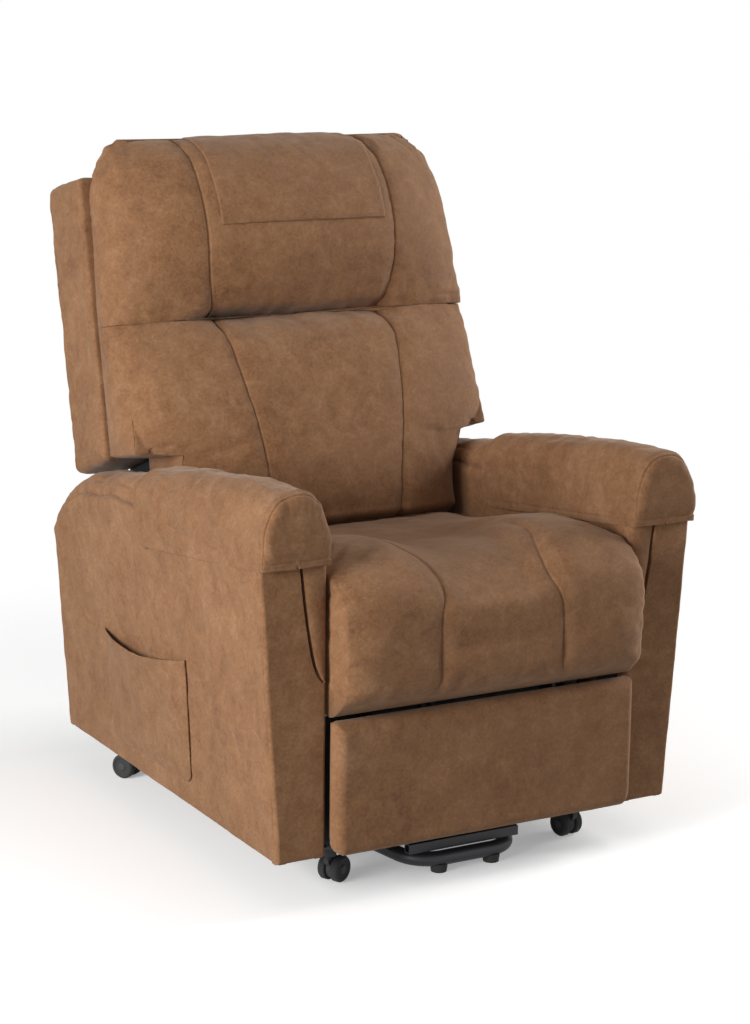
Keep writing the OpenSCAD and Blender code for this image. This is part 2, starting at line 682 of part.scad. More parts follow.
// Tube on the hinge line with the side levers and the slotted crank
module back_hinge_tube() {
  color(STEEL) {
    chair() {
      pin(-lever_x, lever_x, hinge, tube_s);
      pair() {
        pin(lever_x, side_plate_x + plate_t + 3, hinge, pin_d + 4);
        difference() {
          slab(lever_x, plate_t) union() {
            bar2(hinge, lever_pin, 30);
            bar2(hinge, hinge + 68 * [sin(back_lean), cos(back_lean)], 34);
          }
          bore(lever_x, plate_t, lever_pin);
        }
      }
      twin_cranks(recline_x, hinge, crank_h, recline_angle, -1, recline_slack);
    }
  }
}
// Padded wing beside the back frame, over the arm; its lower edge drops towards the rear
module back_wing() {
  r = 22;
  x0 = board_x + board_t;
  x1 = wing_half_w;
  color(FABRIC) on_back() intersection() {
    translate([0, 0, wing_rear_s]) linear_extrude(wing_top - wing_rear_s) union() {
      translate([x0, -cushion_t]) square([x1 - r - x0, back_box_t]);
      translate([x0, -cushion_t]) square([x1 - x0, back_box_t - r]);
      translate([x1 - r, back_rear_t - r]) circle(r = r);
    }
    slab(x0 - 1, x1 - x0 + 2) polygon([[-cushion_t - 1, wing_s], [back_rear_t + 1, wing_rear_s],
      [back_rear_t + 1, wing_top + 1], [-cushion_t - 1, wing_top + 1]]);
  }
}
module back_rear_panel() {
  w = board_x + board_t;
  color(FABRIC_DARK) on_back() {
    bblock(-w, w, -back_rear_t, -back_rear_t + panel_t, 0, wing_top);
    bblock(-w, w, -back_rear_t + panel_t - eps, cushion_t, wing_top - panel_t, wing_top);
  }
}

// Soft back: front height over the frame at x and s, from a flank of its own thickness to a crown
seam_s = 494;
low_half = inner_x - side_gap;
function seam_x(s) = s > seam_s ? 172 + 10 * smooth((s - seam_s) / 100) : 172 - 40 * smooth((seam_s - s) / 330);
function crowned(u, p, q) = pow(max(0, 1 - pow(min(1, abs(u)), p)), q);
function groove(x, s) = 8 * dip(abs(x) - seam_x(s), 12);
function between_seams(x) = smooth((235 - abs(x)) / 90);
function low_flank(s) = 80 + 40 * smooth((seam_s - s) / 230) - 10 * smooth((wing_s - s) / 100);
function low_span(s) = low_half + (back_half_w - low_half) * smooth((s - 200) / 140);
function low_front(x, s, w) = let (v = (s - lower_s) / (seam_s - lower_s),
    c = 130 + 80 * sin(180 * pow(1 - v, 0.8) * 0.62) - 22 * (1 - v), e = low_flank(s), m = min(1, 8 * v + 0.4))
  (e + (c - e) * crowned(x / low_span(s), 3, 0.6)) * m - groove(x, s)
    - 36 * dip(s - seam_s, 22) * between_seams(x) - 6 * dip(s - seam_s, 12);
function up_flank(v) = 78 - 72 * pow(v, 1.1);
function up_front(x, s, w) = let (v = (s - seam_s) / (back_len - seam_s), q = max(0, v - 0.85) / 0.15,
    e = up_flank(v), c = 60 + 98 * sin(180 * (0.13 + 0.8 * v)) - 58 * (1 - sqrt(max(0, 1 - q * q))))
  e + (c - e) * crowned(x / w, 2.6, 0.62) - groove(x, s) * crowned(x / w, 2.6, 0.62)
    - 8 * dip(s - seam_s, 12);
top_round = 126;
function up_half(s) = let (q = min(0.995, max(0, s - (back_len - top_round)) / top_round))
  back_half_w - 6 * smooth((s - seam_s) / 200) - 76 * (1 - sqrt(1 - q * q));
half_cols = [0.18, 0.36, 0.46, 0.58, 0.72, 0.84, 0.94, 1];
cols = concat(-reversed(half_cols), [0], half_cols);
function low_half_at(s) = s < wing_s ? low_half : back_half_w;
low_rows = [lower_s, 106, 130, 165, 210, wing_s - 2, wing_s, 275, 310, 350, 390, 430, 460, 480, 490];
up_rows = [498, 506, 525, 560, 600, 650, 700, 730, 760, 782, 798, 809, back_len];
module cushion_rings(rows, kind) {
  back_t = cushion_t + 0.4;
  n = len(cols);
  rings([for (s = rows) let (w = kind == 0 ? low_half_at(s) : up_half(s))
    concat([for (u = cols) [u * w, -max(back_t + 8, kind == 0 ? low_front(u * w, s, w) : up_front(u * w, s, w)), s]],
      [for (i = [n - 1 : -4 : 0]) [cols[i] * (w - 5), -back_t, s]])]);
}
module back_cushion_lower() { color(FABRIC) on_back() cushion_rings(low_rows, 0); }
module back_cushion_upper() { color(FABRIC) on_back() cushion_rings(up_rows, 1); }

// Loose cover over the top of the head cushion
module head_cover() {
  rise = 2;
  cloth_t = 2;
  us = [for (u = cols) if (abs(u) < 0.5) u];
  n = len(us);
  color(FABRIC_DARK) on_back() sheet([for (s = up_rows) if (s >= 650 && s < back_len) let (w = up_half(s))
    concat([for (u = us) [u * w, -up_front(u * w, s, w) - rise - cloth_t, s]],
      [for (i = [n - 1 : -1 : 0]) [us[i] * w, -up_front(us[i] * w, s, w) - rise, s]])]);
}

// ================= Seat =================
seat_cross_d = [140, 400, 545];
module seat_side_rails() {
  color(STEEL) chair() pair() {
    difference() {
      block(seat_rail_x, seat_rail_x + tube_s, seat_rail_d[0], seat_rail_d[1], seat_rail_z, seat_rail_z + tube_s);
      block(seat_rail_x + 2, seat_rail_x + tube_s - 2, seat_rail_d[0] - 1, seat_rail_d[1] + 1,
        seat_rail_z + 2, seat_rail_z + tube_s - 2);
    }
    // ear and pin of the front guide
    slab(ear_x, plate_t) union() {
      polygon([[guide_pin[0] - 22, seat_rail_z + tube_s], [guide_pin[0] + 22, seat_rail_z + tube_s],
        [guide_pin[0] + 11, guide_pin[1]], [guide_pin[0] - 11, guide_pin[1]]]);
      translate(guide_pin) circle(r = 11);
    }
    pin(ear_x, side_plate_x + plate_t + 2, guide_pin);
    // ear and pin at the back lever
    slab(ear_x, plate_t) union() {
      polygon([[seat_rail_d[1] - 60, seat_rail_z + tube_s], [seat_rail_d[1], seat_rail_z + tube_s],
        [lever_pin[0] + 11, lever_pin[1]], [lever_pin[0] - 11, lever_pin[1] - 4]]);
      translate(lever_pin) circle(r = 12);
    }
    pin(ear_x, lever_x + plate_t + 1, lever_pin);
  }
}
module seat_cross_tubes() {
  color(STEEL) chair() for (d = seat_cross_d)
    cross_tube(-seat_rail_x, seat_rail_x, d, seat_rail_z, tube_s);
}
// Plates with the slot that the lower scissor pin climbs
module seat_guide_plates() {
  a = dir2(slot_pin, slot_end);
  run = len2(slot_end - slot_pin);
  color(STEEL) chair() {
    pair() {
      difference() {
        slab(guide_x, plate_t) union() {
          bar2(slot_pin, drive_pin, 24);
          polygon([drive_pin + [-12, -14], drive_pin + [12, -30], [seat_cross_d[0], seat_rail_z],
            [seat_cross_d[0], seat_rail_z + tube_s], [seat_rail_d[0] + 4, seat_rail_z + tube_s],
            [seat_rail_d[0] + 4, seat_rail_z]]);
        }
        translate([guide_x - 1, slot_pin[0], slot_pin[1]]) rotate([90, 0, 90]) rotate([0, 0, a])
          slot_cut(-end_relief, run + end_relief, pin_d + 2 * pin_gap, plate_t + 2);
        bore(guide_x, plate_t, drive_pin);
      }
      block(guide_x + plate_t - eps, seat_rail_x, seat_rail_d[0] + 4, seat_cross_d[0], seat_rail_z, seat_rail_z + 4);
    }
    // hanger of the footrest actuator below the middle cross tube
    block(foot_rod_x - 14, foot_rod_x + 14, seat_cross_d[1] + 2, seat_cross_d[1] + tube_s - 2,
      foot_rod_z - 12, seat_rail_z);
  }
}

// Zigzag wire springs between the front and rear cross tubes
spring_xs = [-168, -84, 0, 84, 168];
module seat_springs() {
  z = seat_rail_z + tube_s + wire_d / 2 + 0.2;
  d0 = seat_cross_d[0] + 6;
  n = 16;
  pitch = (seat_cross_d[2] + tube_s - 8 - d0) / n;
  half = 18;
  color(ZINC) chair() for (x = spring_xs) {
    for (i = [0 : n]) translate([x - half, d0 + i * pitch, z]) rotate([0, 90, 0])
      cylinder(d = wire_d, h = 2 * half, $fn = 16);
    for (i = [0 : n - 1]) translate([x + (i % 2 == 0 ? half : -half), d0 + (i + 0.5) * pitch, z])
      rotate([0, 0, i % 2 == 0 ? -90 : 90]) rotate_extrude(angle = 180, $fn = 24)
        translate([pitch / 2, 0]) circle(d = wire_d, $fn = 16);
  }
}

// Seat cushion: a side profile carried across the seat, with a front roll, seams and plump sides
lip_z = foot_top + 3;
lip_d = -12;
roll_z = 445;
seat_half = inner_x - side_gap;
seat_rear = seat_depth - seat_overhang;
seat_rear_top = 481;
crest_d = 70;
seat_hollow = 27;
function seat_top(d) = seat_h - (seat_h - seat_rear_top) * smooth((d - crest_d) / 400);
// quarter of a rounded roll of power n from its foremost point to depth c and b above or below it
function roll_point(c, b, f, n) =
  [c - (c + seat_overhang) * pow(cos(f), 2 / n), roll_z + b * pow(sin(f), 2 / n)];
// the underside stays above the path of the unfolding footrest
foot_path = 0.72;
function lifted(p) = [p[0], max(p[1], lip_z + foot_path * (lip_d - p[0]))];
function seat_profile() = concat(
  [[seat_rear - 4, deck_z], [260, deck_z], [46, deck_z], [34, lip_z]],
  [for (f = [90 : -18 : 18]) lifted(roll_point(lip_d, lip_z - roll_z, f, 2.8))],
  [[-seat_overhang, roll_z]],
  [for (f = [18 : 18 : 90]) roll_point(crest_d, seat_h - roll_z, f, 2.4)],
  [for (d = [110, 160, 220, 280, 340, 400, 450]) [d, seat_top(d)]],
  [[seat_rear - 16, seat_top(seat_rear) - 3], [seat_rear, seat_top(seat_rear) - 16]]);
seat_seam_x = 114;
function seat_ring(u) = [for (p = seat_profile()) let (x = u * seat_half, edge = pow(abs(u), 16),
    high = smooth((p[1] - lip_z) / 60), front = smooth((60 - p[0]) / 80), top = smooth((p[1] - roll_z + 60) / 60),
    groove = dip(abs(x) - seat_seam_x, 10),
    hollow = seat_hollow * smooth((160 - abs(x)) / 110) * smooth((p[1] - roll_z) / 80) * smooth((400 - p[0]) / 200))
  [x, p[0] + front * high * (10 * edge + 5 * groove),
    p[1] - high * top * (1 - front * 0.5) * (16 * edge + 6 * groove * smooth((260 - p[0]) / 100)) - hollow]];
seat_half_cols = [0.2, 0.36, 0.43, 0.5, 0.62, 0.76, 0.88, 0.965, 1];
seat_cols = concat(-reversed(seat_half_cols), [0], seat_half_cols);
module seat_cushion() {
  color(FABRIC) chair() rings([for (u = seat_cols) seat_ring(u)]);
}

foot_act_d = [170, seat_cross_d[1] + 2];
foot_rod_len = 190;
module footrest_actuator() {
  // the gear housing is at the rear, so the form is mirrored along depth
  color(PLASTIC) chair() translate([0, foot_act_d[0] + foot_act_d[1], 0]) mirror([0, 1, 0])
    actuator(foot_rod_x, foot_rod_z, foot_act_d[0], foot_act_d[1], -1, 56);
}
module footrest_actuator_rod() {
  color(ZINC) chair() translate([0, 2 * foot_rod_pin[0], 0]) mirror([0, 1, 0])
    actuator_rod(foot_rod_x, foot_rod_z, foot_rod_pin[0] - foot_rod_len, foot_rod_pin);
}

// ================= Footrest scissor =================
module footrest_drive_arms() {
  color(STEEL) chair() {
    pair() {
      difference() {
        slab(outer_bar_x, scissor_t) bar2(drive_pin, lower_mid, scissor_w);
        bore(outer_bar_x, scissor_t, cross1, pin_d - 1 + 2 * pin_gap);
        bore(outer_bar_x, scissor_t, lower_mid, pin_d - 1 + 2 * pin_gap);
      }
      pin(outer_bar_x, guide_x + plate_t + 2, drive_pin);
    }
    pin(-outer_bar_x, outer_bar_x, drive_pin, 18);
    twin_cranks(foot_rod_x, drive_pin, foot_crank_h, foot_swing, -1, foot_slack);
  }
}
module footrest_cross_arms() {
  color(STEEL) chair() pair() {
    difference() {
      slab(inner_bar_x, scissor_t) bar2(slot_pin, upper_mid, scissor_w);
      bore(inner_bar_x, scissor_t, upper_mid, pin_d - 1 + 2 * pin_gap);
    }
    pin(inner_bar_x, outer_bar_x + scissor_t + 1, cross1, pin_d - 1);
    pin(inner_bar_x, guide_x + plate_t + 2, slot_pin);
  }
}
module footrest_short_links() {
  color(STEEL) chair() pair() {
    difference() {
      slab(inner_bar_x, scissor_t) bar2(lower_mid, cross2, scissor_w);
      bore(inner_bar_x, scissor_t, cross2, pin_d - 1 + 2 * pin_gap);
    }
    pin(inner_bar_x, outer_bar_x + scissor_t + 1, lower_mid, pin_d - 1);
  }
}
// Front arms with the brackets that carry the footrest board
board_back = 0;
module footrest_front_arms() {
  color(STEEL) chair() pair() {
    slab(outer_bar_x, scissor_t) union() {
      bar2(upper_mid, front_pin, scissor_w);
      polygon([[board_back, foot_bottom + 12], [board_back, foot_top - 60], upper_mid + [-6, -12],
        cross2 + [-6, 0], front_pin + [-4, 5], front_pin + [0, -6]]);
    }
    pin(inner_bar_x - 1, outer_bar_x, upper_mid, pin_d - 1);
    pin(inner_bar_x - 1, outer_bar_x, cross2, pin_d - 1);
    block(outer_bar_x - 18, outer_bar_x + scissor_t, board_back - 3, board_back, foot_bottom + 12, foot_top - 60);
  }
}
corner_r = 25;
module foot_outline(inset) {
  w = foot_half_w - inset;
  r = corner_r - inset / 2;
  union() {
    translate([-w, foot_bottom + inset + r]) square([2 * w, foot_h - inset * 2 - r]);
    translate([-w + r, foot_bottom + inset]) square([2 * w - 2 * r, r + eps]);
    for (m = [-1, 1]) translate([m * (w - r), foot_bottom + inset + r]) circle(r = r);
  }
}
module footrest_board() {
  color(WOOD) chair() along_depth(board_back - 3 - foot_board_t, board_back - 3) foot_outline(6);
}
// Upholstered face of the footrest: a crowned front with turned edges
module footrest_pad() {
  n = 24;
  back = board_back - 3 - foot_board_t;
  w = foot_half_w;
  zc = (foot_bottom + foot_top) / 2;
  function outline(f, k) = let (c = cos(f), s = sin(f), p = 2 / 7)
    [w * k * sign(c) * pow(abs(c), p), zc + foot_h / 2 * k * sign(s) * pow(abs(s), p)];
  function ring(k, t) = [for (i = [0 : n - 1]) let (q = outline(360 * i / n, k)) [q[0], back - t, q[1]]];
  color(FABRIC) chair() rings([ring(0.985, 0), ring(1, 5), ring(0.995, foot_pad_t * 0.62),
    ring(0.965, foot_pad_t * 0.9), ring(0.6, foot_pad_t)]);
}

// ================= Casters =================
function caster_at(i) = i < 2 ? caster_front : caster_rear;
function caster_sign(i) = i % 2 == 0 ? -1 : 1;
caster_turn = [-64, 8, 30, -20];
wheel_gap = 1;
fork_w = 9;
axle_half = fork_w / 2 + wheel_gap + wheel_w - 4;
module caster(i) {
  translate([caster_sign(i) * caster_at(i)[0], caster_at(i)[1], 0]) rotate([0, 0, caster_turn[i]]) children();
}
module fork(i) {
  color(PLASTIC) chair() caster(i) {
    translate([0, 0, wheel_d + 2]) cylinder(d = 22, h = caster_top - wheel_d - 10);
    slab(-fork_w / 2, fork_w) union() {
      bar2([0, wheel_d - 4], [caster_trail, wheel_d / 2], 22);
      translate([caster_trail, wheel_d / 2]) circle(d = wheel_d - 10);
    }
    translate([0, 0, caster_top - 9]) cylinder(d = 38, h = 9 - pin_gap);
    pin(-axle_half, axle_half, [caster_trail, wheel_d / 2], pin_d - 2);
  }
}
module wheels(i) {
  color(RUBBER) chair() caster(i) for (m = [0, 1]) mirror([m, 0, 0])
    translate([fork_w / 2 + wheel_gap, caster_trail, wheel_d / 2]) rotate([0, 90, 0]) difference() {
      rotate_extrude() polygon([[0, 0], [wheel_d / 2 - 1.5, 0], [wheel_d / 2, 1.5], [wheel_d / 2, wheel_w - 4],
        [wheel_d / 2 - 2, wheel_w - 1], [wheel_d / 2 - 5, wheel_w], [wheel_d / 2 - 8, wheel_w - 2], [0, wheel_w - 2]]);
      translate([0, 0, -1]) cylinder(d = pin_d - 2 + 2 * pin_gap, h = wheel_w - 2 + pin_gap);
    }
}

base_hoop();
base_cross_tubes();
base_pivot_brackets();
base_feet();
lift_actuator();
lift_arms();
lift_stays();
lift_actuator_rod();
chassis_rails();
chassis_cross_tubes();
chassis_brackets();
caster_plates();
control_box();
recline_actuator();
recline_actuator_rod();
mirror([1, 0, 0]) arm_frame();  // arm_frame_left
arm_frame();  // arm_frame_right
mirror([1, 0, 0]) arm_outer_panel();  // arm_outer_panel_left
arm_outer_panel();  // arm_outer_panel_right
mirror([1, 0, 0]) arm_inner_panel();  // arm_inner_panel_left
arm_inner_panel();  // arm_inner_panel_right
mirror([1, 0, 0]) arm_end_panels();  // arm_end_panels_left
arm_end_panels();  // arm_end_panels_right
mirror([1, 0, 0]) armrest_pad();  // armrest_pad_left
armrest_pad();  // armrest_pad_right
mirror([1, 0, 0]) armrest_cover();  // armrest_cover_left
armrest_cover();  // armrest_cover_right
mirror([1, 0, 0]) side_pocket();
back_side_boards();
back_cross_rails();
back_hinge_tube();
mirror([1, 0, 0]) back_wing();  // back_wing_left
back_wing();  // back_wing_right
back_rear_panel();
back_cushion_lower();
back_cushion_upper();
head_cover();
seat_side_rails();
seat_cross_tubes();
seat_guide_plates();
seat_springs();
seat_cushion();
footrest_actuator();
footrest_actuator_rod();
footrest_drive_arms();
footrest_cross_arms();
footrest_short_links();
footrest_front_arms();
footrest_board();
footrest_pad();
fork(0);  // caster_fork_front_left
wheels(0);  // caster_wheels_front_left
fork(1);  // caster_fork_front_right
wheels(1);  // caster_wheels_front_right
fork(2);  // caster_fork_rear_left
wheels(2);  // caster_wheels_rear_left
fork(3);  // caster_fork_rear_right
wheels(3);  // caster_wheels_rear_right
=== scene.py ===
"""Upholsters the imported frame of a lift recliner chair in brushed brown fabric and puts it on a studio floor."""

import json
import math

import bmesh
import bpy
import numpy as np
from mathutils import Matrix, Vector


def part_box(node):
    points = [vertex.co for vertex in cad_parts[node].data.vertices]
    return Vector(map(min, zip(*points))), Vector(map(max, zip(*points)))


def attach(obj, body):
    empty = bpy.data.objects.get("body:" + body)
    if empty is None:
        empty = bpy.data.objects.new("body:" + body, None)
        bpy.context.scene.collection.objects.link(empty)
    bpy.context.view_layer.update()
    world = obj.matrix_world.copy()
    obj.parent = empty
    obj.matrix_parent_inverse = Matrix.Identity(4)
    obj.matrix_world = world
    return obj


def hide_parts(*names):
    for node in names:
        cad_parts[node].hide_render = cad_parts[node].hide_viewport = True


bl_info = {
    "name": "Lift Recliner Chair",
    "version": (1, 0, 0),
    "blender": (4, 5, 0),
    "location": "3D View > Sidebar > Recliner",
    "description": "Upholsters a lift recliner chair piece by piece and lights it on a plain floor",
    "category": "Add Mesh",
}

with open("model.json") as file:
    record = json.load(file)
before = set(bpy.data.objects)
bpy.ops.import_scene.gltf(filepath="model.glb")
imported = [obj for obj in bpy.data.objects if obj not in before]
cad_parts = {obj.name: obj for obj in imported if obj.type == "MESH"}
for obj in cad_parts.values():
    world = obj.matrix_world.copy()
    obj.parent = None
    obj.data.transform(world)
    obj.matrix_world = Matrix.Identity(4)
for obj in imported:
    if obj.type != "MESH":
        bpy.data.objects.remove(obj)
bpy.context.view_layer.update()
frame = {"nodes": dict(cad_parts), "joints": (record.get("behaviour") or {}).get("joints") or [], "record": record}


# ---------------- places, in metres, from the frame


def corners_of(node):
    """Lowest and highest corner of a node of the frame, as arrays."""
    return np.array(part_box(node))


PIVOT = {j["name"]: np.array(j["pos_m"]) for j in frame["joints"] if "pos_m" in j}
HINGE = PIVOT["back_recline"]
ARM_LOW, ARM_HIGH = corners_of("arm_end_panels_right")
SEAT_LOW, SEAT_HIGH = corners_of("seat_cushion")
FOOT_LOW, FOOT_HIGH = corners_of("footrest_pad")
POCKET_FOOT = corners_of("side_pocket")[0][2]
HINGE_DEPTH = 0.62
FRONT = HINGE[1] - HINGE_DEPTH
ARM_FACE = ARM_LOW[1] - FRONT
ARM_DEPTH = ARM_HIGH[1] - FRONT
BOTTOM = ARM_LOW[2]
SIDE_TOP = ARM_HIGH[2]
INNER = ARM_LOW[0]
OUTER = ARM_HIGH[0]
FLARE = 0.032
CROWN = corners_of("armrest_cover_right")[1][2]
COVER_THICK = 0.007
COVER_FRONT = -0.0165
COVER_REAR = 0.44
HEM_DROP = 0.056
SWEEP = 0.255
CROWN_START = 0.1

# the back leans on its hinge: t runs forwards from the hinge plane and s up along the back
LEAN = math.radians(12.2)
BACK_TOP = 0.816
BACK_CORNER = 0.126
BACK_HALF = 0.348
LUMBAR_HALF = 0.2765
BACK_REAR = 0.151
CUSHION_BACK = 0.004
WING_FRONT, WING_REAR, WING_HIGH = 0.264, 0.244, 0.757
BOARD_HALF = 0.247
WING_HALF = corners_of("back_wing_right")[1][0]
TUCK = 0.494
LOWER_START = 0.096
FOOTWELL = 0.02
# the arm's panels: gaps to the neighbours, wall behind the face, where the two side panels start and end,
# how far the end panels stay inside the arm's inner and outer faces, and the slit in the front one
PANEL_GAP = 0.0042
PANEL_WALL = 0.012
PANEL_START = ARM_FACE + PANEL_GAP
PANEL_LENGTH = ARM_DEPTH - ARM_FACE - 2 * PANEL_GAP
PANEL_INSET = 0.0015
PANEL_SHY = 0.0035
SLIT_FOOT = 0.3615
SLIT_HALF = 0.0042
HEM = 0.0115
SEAM_WIDTH = 0.0022
THREAD_APART = 0.004


# ---------------- numbers and curves


def smooth(t):
    """Eased step: 3t squared less 2t cubed, held at 0 and 1 outside."""
    t = np.clip(t, 0, 1)
    return t * t * (3 - 2 * t)


def quarter_round(t):
    """Height of a quarter circle: steep at 0, level at 1, held outside."""
    return np.sqrt(1 - (1 - np.clip(t, 0, 1)) ** 2)


def dip(x, width):
    """Bell curve of the given width: e to the power of minus (x over width) squared."""
    return np.exp(-((x / width) ** 2))


def wander(points, size, seed, octaves=3):
    """Soft ripple, about -1 to 1: sine waves in seeded directions, each octave half as long and 0.55 as high."""
    rng = np.random.default_rng(seed)
    total, height = 0.0, 1.0
    for octave in range(octaves):
        waves = rng.normal(size=(7, points.shape[-1])) * (2.6 * 2**octave / size)
        phases = rng.uniform(0, 2 * math.pi, 7)
        total = total + height * np.sin(points @ waves.T + phases).sum(-1) / 3.2
        height *= 0.55
    return total


def spread(low, high, step, marks=(), near=0.0, fine=0.0):
    """Values from low to high about a step apart, and closer together around each mark."""
    out = [np.linspace(low, high, max(2, int(round((high - low) / step)) + 1))]
    for mark in marks:
        out.append(np.arange(mark - near, mark + near + fine / 2, fine))
    values = np.unique(np.concatenate(out).clip(low, high))
    keep = np.concatenate([[True], np.diff(values) > (fine or step) * 0.4])
    keep[-1] = True
    values = values[keep]
    return np.delete(values, -2) if values[-1] - values[-2] < (fine or step) * 0.4 else values


def sample(grid, rows, cols, loop=False):
    """Reads a grid of points at fractional rows and columns, by Catmull-Rom curves both ways."""

    def parts(t, count, around):
        base = np.floor(t) if around else np.clip(np.floor(t), 0, count - 2)
        f = t - base
        weights = (
            ((2 - f) * f - 1) * f / 2,
            ((3 * f - 5) * f * f + 2) / 2,
            ((4 - 3 * f) * f + 1) * f / 2,
            (f - 1) * f * f / 2,
        )
        index = [base.astype(int) + k - 1 for k in range(4)]
        return weights, [i % count if around else i.clip(0, count - 1) for i in index]

    rows, cols = np.broadcast_arrays(rows, cols)
    total = 0.0
    for row_weight, row in zip(*parts(rows, grid.shape[0], False)):
        for col_weight, col in zip(*parts(cols, grid.shape[1], loop)):
            total = total + (row_weight * col_weight)[..., None] * grid[row, col]
    return total


def normals_of(grid, loop=False):
    """Unit normals of a grid: the cross product of its differences along rows and columns."""
    down = np.gradient(grid, axis=0)
    across = (np.roll(grid, -1, 1) - np.roll(grid, 1, 1)) / 2 if loop else np.gradient(grid, axis=1)
    normal = np.cross(down, across)
    return normal / np.maximum(np.linalg.norm(normal, axis=-1, keepdims=True), 1e-12)


def outward(grid, loop=False):
    """The grid's normals, turned to point away from its middle."""
    normal = normals_of(grid, loop)
    middle = grid.reshape(-1, 3).mean(0)
    return normal * np.sign((normal * (grid - middle)).sum())


def on_back(x, t, s):
    """Points given across, forwards and up along the leaning back, in the frame's directions."""
    x, t, s = np.broadcast_arrays(x, t, s)
    return np.stack(
        [x, HINGE[1] - t * math.cos(LEAN) + s * math.sin(LEAN), HINGE[2] + t * math.sin(LEAN) + s * math.cos(LEAN)],
        -1,
    )


def at(x, depth, z):
    """Points given across, back from the arms' front plane, and up."""
    x, depth, z = np.broadcast_arrays(x, depth, z)
    return np.stack([x, FRONT + depth, z], -1)


def mirrored(points):
    """The same points on the other side of the chair."""
    return points * np.array([-1.0, 1.0, 1.0])


def curve_through(points, count, closed=False):
    """Even points along a smooth curve through the given ones."""
    points = np.asarray(points, float)
    total = len(points) if closed else len(points) - 1
    t = np.linspace(0, total, 40 * total + 1)
    dense = sample(points[None].repeat(2, 0), np.zeros_like(t), t, closed)
    length = np.concatenate([[0], np.cumsum(np.linalg.norm(np.diff(dense, axis=0), axis=1))])
    steps = np.linspace(0, length[-1], count, endpoint=not closed)
    return np.stack([np.interp(steps, length, dense[:, k]) for k in range(dense.shape[1])], -1)


# ---------------- meshes


def grid_faces(rows, cols, loop=False):
    """Quads of a grid of rows by cols points, joined round if it is a loop."""
    row = np.arange(rows - 1)[:, None]
    col = np.arange(cols if loop else cols - 1)[None]
    a, b = row * cols + col, row * cols + (col + 1) % cols
    return np.stack([a, b, b + cols, a + cols], -1).reshape(-1, 4)


def fan(ring, centre):
    """Triangles from a closed ring of point numbers to a centre point."""
    return np.stack([ring, np.roll(ring, -1), np.full_like(ring, centre)], -1)


def border(number):
    """Point numbers round the border of a grid of them."""
    return np.concatenate([number[0, :-1], number[:-1, -1], number[-1, :0:-1], number[:0:-1, 0]])


def band(ring, far):
    """Quads between two closed rings of point numbers."""
    return np.stack([ring, np.roll(ring, -1), np.roll(far, -1), far], -1)


def linked(name, data):
    """Object of the scene with the given mesh, lamp or camera."""
    obj = bpy.data.objects.new(name, data)
    bpy.context.collection.objects.link(obj)
    return obj


def new_object(name, points, faces):
    """A mesh object from points and lists of faces, its doubles merged and its faces turned outwards."""
    mesh = bpy.data.meshes.new(name)
    mesh.from_pydata(points.reshape(-1, 3).tolist(), [], [f for block in faces for f in block.tolist()])
    work = bmesh.new()
    work.from_mesh(mesh)
    bmesh.ops.remove_doubles(work, verts=work.verts, dist=1e-6)
    bmesh.ops.recalc_face_normals(work, faces=work.faces)
    work.to_mesh(mesh)
    work.free()
    mesh.shade_smooth()
    return linked(name, mesh)


def dress(obj, body, material):
    """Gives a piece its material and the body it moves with."""
    obj.data.materials.clear()
    obj.data.materials.append(material)
    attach(obj, body)
    return obj


def upholster(obj, body, finish, node=None):
    """Dresses a padded piece in fabric, in place of a node of the frame."""
    dress(obj, body, material(finish))
    if node:
        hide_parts(node)


def side_name(side):
    """Name of a side of the chair: -1 is the left and 1 the right."""
    return "left" if side < 0 else "right"


def on_side(side, points):
    """Points given for the right side, mirrored for the left."""
    return mirrored(points) if side < 0 else points


def tube_skin(name, grid):
    """Closed piece from a grid whose rows are rings, with a fan over each end."""
    rows, cols = grid.shape[:2]
    ring = np.arange(cols)
    last = (rows - 1) * cols
    points = np.concatenate([grid.reshape(-1, 3), grid[:1].mean(1), grid[-1:].mean(1)])
    faces = [grid_faces(rows, cols, True), fan(ring, rows * cols), fan(ring + last, rows * cols + 1)]
    return new_object(name, points, faces)


def pad_skin(name, grid, wall, back):
    """Closed piece from a grid of its face: its border runs back by the wall and then in to one point."""
    rows, cols = grid.shape[:2]
    number = np.arange(rows * cols).reshape(rows, cols)
    ring = border(number)
    far = np.arange(len(ring)) + rows * cols
    flat = grid.reshape(-1, 3)
    points = np.concatenate([flat, flat[ring] + wall, np.asarray(back, float).reshape(1, 3)])
    return new_object(name, points, [grid_faces(rows, cols), band(ring, far), fan(far, len(points) - 1)])


def edge_round(u, size, radius):
    """Height, 0 to 1, of a quarter-round border: full further than radius from both ends of 0 to size."""
    return quarter_round(np.minimum(u, size - u) / radius)


def cloth_sheet(name, grid, thick):
    """Closed sheet of cloth: a grid of its outer face and the same grid moved inwards."""
    rows, cols = grid.shape[:2]
    normal = normals_of(grid)
    normal = normal * np.sign((normal * (grid - grid.reshape(-1, 3).mean(0))).sum() or 1)
    number = np.arange(rows * cols).reshape(rows, cols)
    ring = border(number)
    points = np.concatenate([grid.reshape(-1, 3), (grid - normal * thick).reshape(-1, 3)])
    sheet = grid_faces(rows, cols)
    return new_object(name, points, [sheet, sheet[:, ::-1] + rows * cols, band(ring, ring + rows * cols)])


